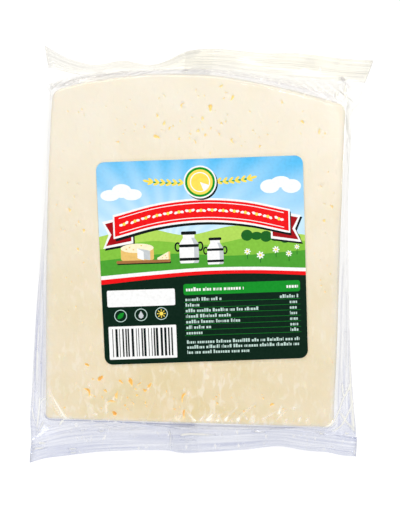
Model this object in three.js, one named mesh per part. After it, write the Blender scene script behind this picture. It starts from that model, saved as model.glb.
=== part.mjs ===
// A flat block of white cheese sealed in a clear bag, lying on its back with a square label up.
// Lengths are in millimetres. X runs across the pack, Y towards its upper seal and Z up.
// The origin is on the ground, under the middle of the pack.

import * as THREE from "three";

// Driving dimensions
const packHeight = 18.4; // the block with the film above and below it
const foldHeight = 9.2; // height of the two side folds
const sealThickness = 0.5; // both layers of film, welded together
const labelSide = 80;
const labelCorner = 3.2;
const labelThickness = 0.3;
const labelTurn = 3.85; // degrees, counter-clockwise as seen from above
const labelCentre = [1.5, 2.2];
const labelGap = 0.02;

// The block of cheese, seen from above: nearly straight on three sides and cut from a round wheel on the fourth
const blockLeft = -59.2; // the sides' usual place
const blockRight = 54.5;
const blockBottom = -63.2;
const rimWidth = 1.6; // the rounded edge of the block, in plan
const rimDrop = 0.8;
const cornerPull = 1.3; // how far the block's corners are rounded off, along X and along Y

// Ribs pressed into the seals
const ribHeight = 0.3;
const ribCells = 10; // cells from a seal's outer edge to its inner line, two for each rib

// A smooth curve through [position, value] knots.
function profile(knots) {
  const slope = knots.map((knot, i) => {
    const before = knots[Math.max(i - 1, 0)];
    const after = knots[Math.min(i + 1, knots.length - 1)];
    return (after[1] - before[1]) / (after[0] - before[0]);
  });
  return (at) => {
    let i = 0;
    while (i < knots.length - 2 && at > knots[i + 1][0]) i += 1;
    const [x0, y0] = knots[i];
    const [x1, y1] = knots[i + 1];
    const span = x1 - x0;
    const t = THREE.MathUtils.clamp((at - x0) / span, 0, 1);
    const t2 = t * t;
    const t3 = t2 * t;
    return (
      y0 * (2 * t3 - 3 * t2 + 1) +
      slope[i] * span * (t3 - 2 * t2 + t) +
      y1 * (3 * t2 - 2 * t3) +
      slope[i + 1] * span * (t3 - t2)
    );
  };
}

// The bag's outline. The ends give Y for a place across the pack, and the sides give X for a place along it.
const bottomEdge = profile([
  [-66, -85.9], [-60, -83.6], [-50, -81.5], [-38, -79.4], [-17, -77.8], [-11, -78],
  [-5, -78.9], [3, -78.3], [22, -76.2], [35, -74.9], [44, -75.9], [54, -76.5],
  [60, -77.8], [66, -78.5],
]);
const topEdge = profile([
  [-66, 83.4], [-60, 79.8], [-54, 77.6], [-47, 76.4], [-35, 78.4], [-25, 77],
  [-18, 78.6], [-9, 82.9], [2, 84.2], [22, 83.1], [36, 83.4], [54, 81.9],
  [66, 81.7],
]);
const leftEdge = profile([
  [-86, -66.7], [-80, -65.8], [-73, -65.5], [-64, -66.4], [-56, -66.1],
  [-32, -64.8], [-16, -63.9], [0, -62.8], [16, -62], [32, -61.2], [48, -60.9],
  [66, -60.2], [72, -60.4], [83, -62.8],
]);
const rightEdge = profile([
  [-80, 66.4], [-68, 65.8], [-56, 64.4], [-44, 62.7], [-28, 61.1], [-8, 59.9],
  [12, 58.6], [34, 57.7], [52, 56.8], [60, 57.3], [67, 60.8], [75, 63], [83, 65.9],
]);

// Where the seals end and the film starts to climb to the block
const bottomSealLine = profile([
  [-66, -75.6], [-50, -71.2], [-17, -68.9], [10, -67.8], [35, -66.6], [50, -67.9],
  [66, -69.2],
]);
const topSealLine = profile([
  [-66, 75.2], [-55, 72.8], [-45, 72.4], [-31, 74.3], [-20, 75.2],
  [-9, 76.1], [5, 76.5], [30, 74.8], [66, 73.2],
]);

// The block's two sides, which lean out a little towards the lower end, and its bowed crown
const leftSide = profile([
  [-64, -59], [-30, -59.1], [0, -59.4], [30, -59.3], [50, -59], [68, -58.4],
]);
const rightSide = profile([[-64, 55.5], [-30, 55.2], [20, 54.5], [66, 54.5]]);
const crown = profile([
  [-59, 66.2], [-50, 68.9], [-40, 71], [-30, 72.7], [-20, 73.8], [-8, 74.2],
  [4, 74], [14, 72.8], [24, 71.2], [34, 69.3], [44, 66.9], [55, 64.3],
]);

// Heights: the seals hang down towards their outer edges, most at the corners and where one is bent down
const bottomEdgeHeight = profile([
  [-66, 2.2], [-50, 4.6], [-17, 6.3], [-7, 5.5], [22, 6.5], [35, 5], [50, 6.2], [66, 4.2],
]);
const bottomSealHeight = profile([[-66, 8], [0, 8.6], [66, 8.8]]);
const topEdgeHeight = profile([
  [-66, 6], [-55, 3.6], [-45, 1.4], [-25, 0.9], [-12, 3.6], [2, 7], [30, 6], [50, 5.4], [66, 8],
]);
const topSealHeight = profile([[-66, 9.4], [-45, 8.6], [-25, 8.2], [0, 9], [30, 9], [66, 9.2]]);

// Stations across and along the pack. Each gap between two stations is cut into equal cells.
const columnStations = [
  { nominal: -66, x: leftEdge },
  { nominal: blockLeft, x: leftSide },
  { nominal: blockLeft + rimWidth, x: (y) => leftSide(y) + rimWidth },
  { nominal: blockRight - rimWidth, x: (y) => rightSide(y) - rimWidth },
  { nominal: blockRight, x: rightSide },
  { nominal: 66, x: rightEdge },
];
const columnCells = [4, 1, 22, 1, 4];

const rowStations = [
  { nominal: -80, y: bottomEdge },
  { nominal: -69, y: bottomSealLine },
  { nominal: blockBottom, y: () => blockBottom },
  { nominal: blockBottom + rimWidth, y: () => blockBottom + rimWidth },
  { nominal: 68, y: (x) => crown(x) - rimWidth },
  { nominal: 70, y: crown },
  { nominal: 74, y: topSealLine },
  { nominal: 83, y: topEdge },
];
const rowCells = [ribCells, 4, 1, 18, 1, 4, ribCells];

// [{ section, part }, ...]: where each grid line lies between its two stations
function gridLines(cells) {
  const lines = cells.flatMap((count, section) =>
    Array.from({ length: count }, (_, i) => ({ section, part: i / count })),
  );
  return [...lines, { section: cells.length - 1, part: 1 }];
}

const columns = gridLines(columnCells);
const rows = gridLines(rowCells);

const between = (stations, line, key, at) => {
  const value = (station) =>
    typeof station[key] === "function" ? station[key](at) : station[key];
  return THREE.MathUtils.lerp(
    value(stations[line.section]),
    value(stations[line.section + 1]),
    line.part,
  );
};

// How far a column or row has climbed from the fold or seal (0) to the block's edge (1) and its flat top (1, rim 1)
function climb(line, flat, slopes) {
  if (line.section === slopes[0]) return { rise: line.part, rim: 0 };
  if (line.section === slopes[1]) return { rise: 1 - line.part, rim: 0 };
  if (line.section < slopes[0] || line.section > slopes[1]) return { rise: 0, rim: 0 };
  if (line.section < flat) return { rise: 1, rim: line.part };
  if (line.section > flat) return { rise: 1, rim: 1 - line.part };
  return { rise: 1, rim: 1 };
}

// The height halfway between the two layers of film
function middleHeight(row, x) {
  const lastRow = rowCells.length - 1;
  if (row.section === 0) {
    return THREE.MathUtils.lerp(bottomEdgeHeight(x), bottomSealHeight(x), row.part);
  }
  if (row.section === 1) {
    return THREE.MathUtils.lerp(bottomSealHeight(x), foldHeight, row.part);
  }
  if (row.section === lastRow - 1) {
    return THREE.MathUtils.lerp(foldHeight, topSealHeight(x), row.part);
  }
  if (row.section === lastRow) {
    return THREE.MathUtils.lerp(topSealHeight(x), topEdgeHeight(x), row.part);
  }
  return foldHeight;
}

// Ribs stand up on every second grid line inside a seal.
function ribOf(row) {
  const inSeal = row.section === 0 || row.section === rowCells.length - 1;
  const step = Math.round(row.part * ribCells);
  return inSeal && step % 2 === 1 ? ribHeight : 0;
}

// The top and bottom points of the bag where a row and a column cross
function crossing(row, column) {
  const nominalX = between(columnStations, column, "nominal");
  const nominalY = between(rowStations, row, "nominal");
  const across = climb(column, 2, [0, 4]);
  const along = climb(row, 3, [1, 5]);

  let x = between(columnStations, column, "x", nominalY);
  let y = between(rowStations, row, "y", nominalX);
  const nearCorner = across.rise * along.rise * (1 - across.rim) * (1 - along.rim);
  x -= Math.sign(nominalX) * cornerPull * nearCorner;
  y -= Math.sign(nominalY) * cornerPull * nearCorner;

  const both = across.rise * along.rise;
  const rise = both > 0 ? both / (across.rise + along.rise - both) : 0;
  const rim = 1 - (1 - Math.min(across.rim, along.rim)) ** 2;
  const lowered = rimDrop * (1 - rim) * (rise === 1 ? 1 : 0);
  const shoulder = packHeight - rimDrop;
  const middle = middleHeight(row, nominalX) + ribOf(row);
  const upper = middle + sealThickness / 2;
  const lower = middle - sealThickness / 2;
  return {
    top: [x, y, rise === 1 ? packHeight - lowered : THREE.MathUtils.lerp(upper, shoulder, rise)],
    bottom: [x, y, rise === 1 ? lowered : THREE.MathUtils.lerp(lower, rimDrop, rise)],
  };
}

// The bag: two sheets over one grid, joined round the rim
function bagGeometry() {
  const across = columns.length;
  const positions = [];
  const index = [];
  const sheetSize = rows.length * across;
  for (const layer of ["top", "bottom"]) {
    for (const row of rows) {
      for (const column of columns) positions.push(...crossing(row, column)[layer]);
    }
  }
  const quad = (a, b, c, d) => index.push(a, b, c, a, c, d);
  for (let j = 0; j < rows.length - 1; j += 1) {
    for (let i = 0; i < across - 1; i += 1) {
      const a = j * across + i;
      quad(a, a + 1, a + across + 1, a + across);
      quad(sheetSize + a, sheetSize + a + across, sheetSize + a + across + 1, sheetSize + a + 1);
    }
  }
  const rim = [
    ...columns.map((_, i) => i),
    ...rows.slice(1).map((_, j) => (j + 2) * across - 1),
    ...columns.slice(1).map((_, i) => sheetSize - 2 - i),
    ...rows.slice(2).map((_, j) => (rows.length - 2 - j) * across),
  ];
  rim.forEach((a, k) => {
    const b = rim[(k + 1) % rim.length];
    quad(sheetSize + a, sheetSize + b, b, a);
  });
  const geometry = new THREE.BufferGeometry();
  geometry.setAttribute("position", new THREE.Float32BufferAttribute(positions, 3));
  geometry.setIndex(index);
  geometry.computeVertexNormals();
  return geometry;
}

// The label: a square sticker with rounded corners
function labelGeometry() {
  const half = labelSide / 2;
  const r = labelCorner;
  const shape = new THREE.Shape();
  shape.moveTo(-half + r, -half);
  shape.lineTo(half - r, -half);
  shape.absarc(half - r, -half + r, r, -Math.PI / 2, 0);
  shape.lineTo(half, half - r);
  shape.absarc(half - r, half - r, r, 0, Math.PI / 2);
  shape.lineTo(-half + r, half);
  shape.absarc(-half + r, half - r, r, Math.PI / 2, Math.PI);
  shape.lineTo(-half, -half + r);
  shape.absarc(-half + r, -half + r, r, Math.PI, Math.PI * 1.5);
  return new THREE.ExtrudeGeometry(shape, {
    depth: labelThickness,
    bevelEnabled: false,
    curveSegments: 6,
  });
}

const wrappedCheese = new THREE.MeshStandardMaterial({ color: 0xf6ead0, roughness: 0.3 });
const printedPaper = new THREE.MeshStandardMaterial({ color: 0x2f6f4a, roughness: 0.4 });

const bag = new THREE.Mesh(bagGeometry(), wrappedCheese);
bag.name = "bag";

const label = new THREE.Mesh(labelGeometry(), printedPaper);
label.name = "label";
label.position.set(...labelCentre, packHeight + labelGap);
label.rotation.z = THREE.MathUtils.degToRad(labelTurn);

const pack = new THREE.Group();
pack.add(bag, label);

export default pack;
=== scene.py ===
import math

import bpy
import numpy as np
from mathutils import Matrix, Vector
from mathutils.geometry import delaunay_2d_cdt


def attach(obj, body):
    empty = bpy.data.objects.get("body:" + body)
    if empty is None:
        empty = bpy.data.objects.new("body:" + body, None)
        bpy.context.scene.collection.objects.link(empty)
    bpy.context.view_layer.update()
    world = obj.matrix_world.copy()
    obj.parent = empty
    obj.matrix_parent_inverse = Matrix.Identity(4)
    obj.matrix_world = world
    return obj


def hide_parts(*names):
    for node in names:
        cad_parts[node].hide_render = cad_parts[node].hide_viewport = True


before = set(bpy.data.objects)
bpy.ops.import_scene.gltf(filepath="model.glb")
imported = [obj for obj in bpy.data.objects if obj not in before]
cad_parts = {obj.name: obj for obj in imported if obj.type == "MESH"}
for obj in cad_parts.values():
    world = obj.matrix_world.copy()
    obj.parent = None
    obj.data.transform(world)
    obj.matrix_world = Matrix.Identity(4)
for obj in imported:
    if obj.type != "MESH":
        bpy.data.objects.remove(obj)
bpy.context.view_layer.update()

# A slab of white cheese sealed in a clear bag, with a square label on top.
# The shapes are worked out in millimetres, in the frame's own axes, and become metres in newPiece.
mm = 0.001


def curveThrough(knots, at):
    # the same smooth curve through (position, value) knots that the solid's outline follows
    places, values = np.array(knots, float).T
    count = len(places)
    before = np.maximum(np.arange(count) - 1, 0)
    after = np.minimum(np.arange(count) + 1, count - 1)
    slope = (values[after] - values[before]) / (places[after] - places[before])
    at = np.asarray(at, float)
    i = np.clip(np.searchsorted(places, at, side="right") - 1, 0, count - 2)
    span = places[i + 1] - places[i]
    t = np.clip((at - places[i]) / span, 0, 1)
    return (
        values[i] * (2 * t**3 - 3 * t**2 + 1)
        + slope[i] * span * (t**3 - 2 * t**2 + t)
        + values[i + 1] * (3 * t**2 - 2 * t**3)
        + slope[i + 1] * span * (t**3 - t**2)
    )


def mix(a, b, t):
    return a + (b - a) * t


def easeIn(t):
    t = np.clip(t, 0, 1)
    return t * t * (3 - 2 * t)


def rampIn(value, start, length):
    return easeIn((value - start) / length)


def travelled(line):
    # how far along a line of points each of them lies
    return np.r_[0, np.cumsum(np.sqrt((np.diff(line, axis=0) ** 2).sum(-1)))]


def ringFaces(starts, count):
    # four-sided faces between closed rings of points that follow each other
    faces = []
    for a, b in zip(starts[:-1], starts[1:]):
        for i in range(count):
            j = (i + 1) % count
            faces.append([a + i, a + j, b + j, b + i])
    return faces


def waves(x, y, lengths, seed):
    # gentle unevenness between -1 and 1: a few sine waves in seeded directions
    draw = np.random.default_rng(seed)
    total = 0.0
    for length in lengths:
        for _ in range(3):
            turn, shift = draw.uniform(0, 2 * math.pi, 2)
            total = total + np.sin((x * math.cos(turn) + y * math.sin(turn)) * 2 * math.pi / length + shift)
    return total / (3 * len(lengths))


def placeObject(name, data):
    made = bpy.data.objects.new(name, data)
    bpy.context.collection.objects.link(made)
    return made


def newPiece(name, points, faces, materials, smooth=True, replaced="bag"):
    mesh = bpy.data.meshes.new(name)
    mesh.from_pydata((np.asarray(points) * mm).tolist(), [], faces)
    mesh.update()
    mesh.polygons.foreach_set("use_smooth", [smooth] * len(mesh.polygons))
    for material in materials:
        mesh.materials.append(material)
    piece = placeObject(name, mesh)
    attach(piece, "root")
    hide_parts(replaced)
    return piece


def paintPoints(piece, measures):
    # numbers for each point of the mesh, which readPoints gives to the materials
    for name, values in measures.items():
        layer = piece.data.attributes.new(name, "FLOAT", "POINT")
        layer.data.foreach_set("value", np.asarray(values, np.float32).ravel())


def newMaterial(name):
    material = bpy.data.materials.new(name)
    material.use_nodes = True
    tree = material.node_tree
    return material, tree, tree.nodes["Principled BSDF"]


def feed(tree, node, inputs):
    # links each input to another node's output, or sets it to a plain number or colour
    for name, value in inputs.items():
        socket = node.inputs[name]
        if isinstance(value, bpy.types.NodeSocket):
            tree.links.new(value, socket)
        else:
            socket.default_value = (*value, 1) if socket.type == "RGBA" else value


def makeNode(tree, kind, inputs, **settings):
    node = tree.nodes.new("ShaderNode" + kind)
    for name, value in settings.items():
        setattr(node, name, value)
    feed(tree, node, inputs)
    return node


def readPoints(tree, *names):
    return [makeNode(tree, "Attribute", {}, attribute_name=name).outputs["Fac"] for name in names]


def objectPlace(tree):
    # the place on the object in metres, whole and as X, Y and Z
    place = makeNode(tree, "TexCoord", {}).outputs["Object"]
    return place, makeNode(tree, "SeparateXYZ", {0: place}).outputs


def mathNode(tree, operation, *values, clamp=False):
    return makeNode(tree, "Math", dict(enumerate(values)), operation=operation, use_clamp=clamp).outputs[0]


def scaled(tree, value, factor, offset, clamp=False):
    return mathNode(tree, "MULTIPLY_ADD", value, factor, offset, clamp=clamp)


def rampNode(tree, fac, stops):
    node = makeNode(tree, "ValToRGB", {"Fac": fac})
    elements = node.color_ramp.elements
    while len(elements) < len(stops):
        elements.new(0.5)
    for element, (place, colour) in zip(elements, stops):
        element.position = place
        element.color = (*colour, 1)
    return node.outputs["Color"]


def mixColour(tree, fac, a, b, blend="MIX"):
    return makeNode(tree, "Mix", {0: fac, 6: a, 7: b}, data_type="RGBA", blend_type=blend).outputs[2]


def noiseNode(tree, vector, scale, detail, roughness=0.5, distortion=0.0):
    shape = {"Scale": scale, "Detail": detail, "Roughness": roughness, "Distortion": distortion}
    return makeNode(tree, "TexNoise", {"Vector": vector, **shape}).outputs["Fac"]


def bumpNode(tree, height, strength, distance):
    bump = makeNode(tree, "Bump", {"Height": height, "Strength": strength, "Distance": distance})
    return bump.outputs["Normal"]


def placeGroup(tree, group, values):
    return makeNode(tree, "Group", values, node_tree=group).outputs


def newGroup(name, inputs, outputs):
    # a node group whose inputs and outputs are all plain numbers
    tree = bpy.data.node_groups.new(name, "ShaderNodeTree")
    for label, value in inputs.items():
        socket = tree.interface.new_socket(name=label, in_out="INPUT", socket_type="NodeSocketFloat")
        socket.default_value = value
    for label in outputs:
        tree.interface.new_socket(name=label, in_out="OUTPUT", socket_type="NodeSocketFloat")
    start = tree.nodes.new("NodeGroupInput")
    end = tree.nodes.new("NodeGroupOutput")
    return tree, start, end


# Mottling: soft patches, used under the cheese's colour, the film's haze and the label's inks
def makeMottling():
    inputs = {"Scale": 100.0, "Fineness": 3.0, "Contrast": 1.0}
    tree, start, end = newGroup("mottling", inputs, ["Mask", "Height"])
    place, _ = objectPlace(tree)
    noise = noiseNode(tree, place, start.outputs["Scale"], start.outputs["Fineness"])
    spread = mathNode(tree, "MULTIPLY", mathNode(tree, "SUBTRACT", noise, 0.5), start.outputs["Contrast"])
    feed(tree, end, {"Mask": mathNode(tree, "ADD", spread, 0.5, clamp=True), "Height": noise})
    return tree


mottling = makeMottling()

# The bag's outline and heights: the ends by a place across the pack, the sides by a place along it
packOutline = {
    "bottomEdge": [(-66, -85.9), (-60, -83.6), (-50, -81.5), (-38, -79.4), (-17, -77.8), (-11, -78),
                   (-5, -78.9), (3, -78.3), (22, -76.2), (35, -74.9), (44, -75.9), (54, -76.5), (60, -77.8),
                   (66, -78.5)],
    "topEdge": [(-66, 83.4), (-60, 79.8), (-54, 77.6), (-47, 76.4), (-35, 78.4), (-25, 77), (-18, 78.6),
                (-9, 82.9), (2, 84.2), (22, 83.1), (36, 83.4), (54, 81.9), (66, 81.7)],
    "leftEdge": [(-86, -66.7), (-80, -65.8), (-73, -65.5), (-64, -66.4), (-56, -66.1), (-32, -64.8),
                 (-16, -63.9), (0, -62.8), (16, -62), (32, -61.2), (48, -60.9), (66, -60.2), (72, -60.4),
                 (83, -62.8)],
    "rightEdge": [(-80, 66.4), (-68, 65.8), (-56, 64.4), (-44, 62.7), (-28, 61.1), (-8, 59.9), (12, 58.6),
                  (34, 57.7), (52, 56.8), (60, 57.3), (67, 60.8), (75, 63), (83, 65.9)],
    "bottomSealLine": [(-66, -75.6), (-50, -71.2), (-17, -68.9), (10, -67.8), (35, -66.6), (50, -67.9),
                       (66, -69.2)],
    "topSealLine": [(-66, 75.2), (-55, 72.8), (-45, 72.4), (-31, 74.3), (-20, 75.2),
                    (-9, 76.1), (5, 76.5), (30, 74.8), (66, 73.2)],
    "bottomEdgeHeight": [(-66, 2.2), (-50, 4.6), (-17, 6.3), (-7, 5.5), (22, 6.5), (35, 5), (50, 6.2),
                         (66, 4.2)],
    "bottomSealHeight": [(-66, 8), (0, 8.6), (66, 8.8)],
    "topEdgeHeight": [(-66, 6), (-55, 3.6), (-45, 1.4), (-25, 0.9), (-12, 3.6), (2, 7), (30, 6), (50, 5.4),
                      (66, 8)],
    "topSealHeight": [(-66, 9.4), (-45, 8.6), (-25, 8.2), (0, 9), (30, 9), (66, 9.2)],
}


def outline(name, at):
    return curveThrough(packOutline[name], at)


# The cheese
cheese = {
    # X of the two sides by a place along the pack, and Y of the bowed crown by a place across it
    "leftSide": [(-64, -58.9), (-30, -59.0), (0, -59.3), (30, -59.2), (50, -58.9), (68, -58.3)],
    "rightSide": [(-64, 55.4), (-30, 55.1), (20, 54.4), (66, 54.4)],
    "crown": [(-59, 66.1), (-50, 68.8), (-40, 70.9), (-30, 72.6), (-20, 73.7), (-8, 74.1), (4, 73.9),
              (14, 72.7), (24, 71.1), (34, 69.2), (44, 66.8), (55, 64.2)],
    "bottom": -63.1,
    "low": 0.4,
    "high": 18.1,
    "corners": [1.8, 2.6, 3.0, 3.4],  # bottom left, bottom right, top right, top left
    "rim": 0.9,
    "sideBulge": 0.35,
    "uneven": 0.12,  # how far the outline wanders
    "rough": 0.16,  # and the sides
    "step": 0.62,  # along the outline and up the side
    "grid": 1.7,  # between the points of the flat faces
    "relief": 0.06,
    "sideHoles": 46,
}

# What the holes are drawn from
holeShape = {
    "spread": 0.6,  # in shares of a zone's reach
    "longest": 1.6,
    "narrowest": 0.22,
    "slender": (0.35, 0.7),  # width in shares of the length
    "turn": (105, 38),  # degrees: middle and spread
    "curl": 0.45,
    "apart": 1.3,  # in shares of both lengths
    "margin": 2.8,  # from the slab's rim
    "depth": (0.05, 0.7),  # the least, and what each millimetre of width adds
    "tone": (0.12, 0.95),  # the same for how dark a hole looks: partly its own orange, partly painted shade in the wider, deeper holes
    "crownTone": 0.42,  # holes look paler towards the crown: painted light, where the light falls strongest
    # rings of points round a hole: how wide each is, and its share of the depth
    "profile": [(0.4, 0.95), (0.7, 0.7), (0.9, 0.3), (1.08, 0.0), (1.3, 0.0)],
}

# The largest holes in the top: place, half-length, half-width and turn in degrees
largeHoles = [
    (-25.4, -46.9, 1.8, 0.75, 122), (-18.1, -48.5, 1.7, 0.62, 52), (-19.6, -50.3, 1.2, 0.5, 12),
    (-42, -51.2, 1.7, 0.62, 124), (-42.9, -40.7, 0.85, 0.62, 150), (-31, -52.6, 1.9, 0.5, 86),
    (-32.8, -55, 1.5, 0.42, 6), (-29.4, -47, 1, 0.55, 135), (-37.5, -46, 1.3, 0.8, 62),
    (-4.8, -52.3, 1.8, 0.55, 68), (-4.3, -59, 1.4, 0.55, 84), (2.5, 62, 1.2, 0.85, 108),
    (10.9, 66, 1.15, 0.5, 58), (-17.9, 50.2, 1.25, 0.7, 152), (-50.8, 20.6, 0.8, 0.5, 100),
    (-45.2, 12.8, 0.7, 0.5, 60), (-8.6, 62.6, 1, 0.45, 64), (6.4, 70.2, 0.9, 0.45, 48),
]

# Where the smaller ones lie: middle, reach in X and Y, how many, and how large they are there
holeZones = {
    "top": [
        (-30, -52, 18, 7, 46, 0.95), (12, -54, 26, 6, 18, 0.6), (-8, 54, 18, 7, 32, 0.7),
        (20, 53, 20, 8, 24, 0.65), (-2, 66, 22, 4, 11, 0.7), (-38, 55, 12, 8, 10, 0.65),
        (-49, 5, 6, 40, 22, 0.55), (49, 15, 3, 35, 16, 0.8),
    ],
    "underside": [(0, 5, 38, 45, 130, 0.8), (20, 35, 16, 12, 40, 1.0), (-30, -35, 14, 10, 30, 0.9)],
}


def crownAt(x):
    return curveThrough(cheese["crown"], x)


def leftAt(y):
    return curveThrough(cheese["leftSide"], y)


def rightAt(y):
    return curveThrough(cheese["rightSide"], y)


def slabCorners():
    # bottom left, bottom right, top right, top left, before they are rounded
    bottom = cheese["bottom"]
    left, right = float(leftAt(66)), float(rightAt(66))
    return [
        (float(leftAt(bottom)), bottom), (float(rightAt(bottom)), bottom),
        (right, float(crownAt(right))), (left, float(crownAt(left))),
    ]


def insideSlab(x, y, margin):
    upright = (y > cheese["bottom"] + margin) & (y < crownAt(x) - margin)
    return upright & (x > leftAt(y) + margin) & (x < rightAt(y) - margin)


def cheeseOutline():
    # the slab from above, counter-clockwise: three nearly straight sides, a bowed crown and rounded corners
    corners = slabCorners()
    drawn, kept = 60, 80  # points along a side, as drawn and between its corners
    rightY = np.linspace(corners[1][1], corners[2][1], drawn)
    crownX = np.linspace(corners[2][0], corners[3][0], drawn)
    leftY = np.linspace(corners[3][1], corners[0][1], drawn)
    sides = [
        np.linspace(corners[0], corners[1], drawn),
        np.stack([rightAt(rightY), rightY], 1),
        np.stack([crownX, crownAt(crownX)], 1),
        np.stack([leftAt(leftY), leftY], 1),
    ]

    def readAlong(line, places):
        return np.stack([np.interp(places, travelled(line), line[:, i]) for i in (0, 1)], 1)

    loop = []
    for k, side in enumerate(sides):
        first, last = cheese["corners"][k], travelled(side)[-1] - cheese["corners"][(k + 1) % 4]
        side = readAlong(side, np.linspace(first, last, kept))
        bulge = cheese["sideBulge"] * np.sin(np.linspace(0, math.pi, kept)) * (k in (1, 3))
        side[:, 0] += bulge * (1 if k == 1 else -1)
        loop.append(side)
    whole = []
    for k, side in enumerate(loop):
        following = loop[(k + 1) % 4]
        corner = np.array(corners[(k + 1) % 4])
        t = np.linspace(0, 1, 12)[1:-1, None]
        bend = (1 - t) ** 2 * side[-1] + 2 * t * (1 - t) * corner + t**2 * following[0]
        whole += [side, bend]
    closed = np.concatenate([*whole, whole[0][:1]])
    length = travelled(closed)[-1]
    points = readAlong(closed, np.linspace(0, length, round(length / cheese["step"]), endpoint=False))
    tangent = np.roll(points, -1, 0) - np.roll(points, 1, 0)
    tangent /= np.hypot(*tangent.T)[:, None]
    normal = np.stack([tangent[:, 1], -tangent[:, 0]], 1)
    uneven = waves(points[:, 0], points[:, 1], [31, 17, 9], 3) * cheese["uneven"]
    return points + normal * uneven[:, None], normal


def scatterHoles(face, seed):
    # holes that keep clear of each other and of the rim
    draw = np.random.default_rng(seed)
    shape = holeShape
    holes = []

    def add(x, y, long, wide, turn):
        curl, lobes = draw.uniform(-shape["curl"], shape["curl"]), draw.uniform(0, 2 * math.pi, 2)
        tone = min(1.0, shape["tone"][0] + shape["tone"][1] * wide + draw.uniform(-0.1, 0.2))
        holes.append({
            "x": x, "y": y, "long": long, "wide": wide, "turn": math.radians(turn),
            "curl": curl, "lobes": lobes, "depth": shape["depth"][0] + shape["depth"][1] * wide,
            "tone": tone * mix(1.0, shape["crownTone"], rampIn(y, -30, 60)),
        })

    if face == "top":
        for hole in largeHoles:
            add(*hole)
    for middleX, middleY, reachX, reachY, count, size in holeZones[face]:
        for _ in range(count):
            x = middleX + draw.normal(0, shape["spread"]) * reachX
            y = middleY + draw.normal(0, shape["spread"]) * reachY
            long = min(size * draw.lognormal(-0.35, 0.45), shape["longest"])
            wide = max(long * draw.uniform(*shape["slender"]), shape["narrowest"])
            turn = draw.normal(*shape["turn"])
            apart = [math.hypot(x - h["x"], y - h["y"]) / (long + h["long"]) for h in holes]
            if min(apart, default=9) > shape["apart"] and insideSlab(x, y, shape["margin"]):
                add(x, y, long, wide, turn)
    return holes


def holeRing(hole, reach, sides):
    # one ring of points round a hole: a bent oval with an uneven edge
    angle = np.arange(sides) * 2 * math.pi / sides
    uneven = 1 + 0.22 * np.sin(2 * angle + hole["lobes"][0]) + 0.2 * np.sin(3 * angle + hole["lobes"][1])
    along = hole["long"] * reach * uneven * np.cos(angle)
    across = hole["wide"] * reach * uneven * np.sin(angle)
    across = across + hole["curl"] * (along / hole["long"]) ** 2 * hole["long"]
    c, s = math.cos(hole["turn"]), math.sin(hole["turn"])
    return np.stack([hole["x"] + along * c - across * s, hole["y"] + along * s + across * c], 1)


def faceMesh(boundary, holes, seed):
    # one flat face: its rim, an even grid and rings of points round each hole, joined by triangles
    draw = np.random.default_rng(seed)
    step = cheese["grid"]
    xs = np.arange(-58, 55, step)
    ys = np.arange(cheese["bottom"] + 2, 73, step * 0.87)
    gridX, gridY = np.meshgrid(xs, ys)
    gridX = gridX + (np.arange(len(ys)) % 2)[:, None] * step / 2
    grid = np.stack([gridX.ravel(), gridY.ravel()], 1) + draw.uniform(-0.2, 0.2, (gridX.size, 2))
    grid = grid[insideSlab(grid[:, 0], grid[:, 1], 1.8)]
    for corner in slabCorners():
        grid = grid[np.hypot(*(grid - corner).T) > 3.6]
    rings = []
    for hole in holes:
        grid = grid[np.hypot(grid[:, 0] - hole["x"], grid[:, 1] - hole["y"]) > hole["long"] * 1.7 + 0.3]
        sides = 10 if hole["long"] < 0.7 else 16
        rings.append((np.array([[hole["x"], hole["y"]]]), hole["depth"], hole["tone"]))
        for reach, share in holeShape["profile"]:
            # darker towards each hole's bottom: painted shade
            tone = hole["tone"] * min(1, 1.3 * share)
            rings.append((holeRing(hole, reach, sides), hole["depth"] * share, tone))
    points = np.concatenate([boundary, grid] + [ring for ring, _, _ in rings])
    plain = np.zeros(len(boundary) + len(grid))
    depth = np.concatenate([plain] + [np.full(len(ring), deep) for ring, deep, _ in rings])
    tone = np.concatenate([plain] + [np.full(len(ring), shade) for ring, _, shade in rings])
    loop = list(range(len(boundary)))
    _, _, faces, origins, _, _ = delaunay_2d_cdt([Vector(p) for p in points], [], [loop], 1, 1e-6, True)
    order = [o[0] for o in origins]
    return points, depth, tone, [[order[i] for i in face] for face in faces]
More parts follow.
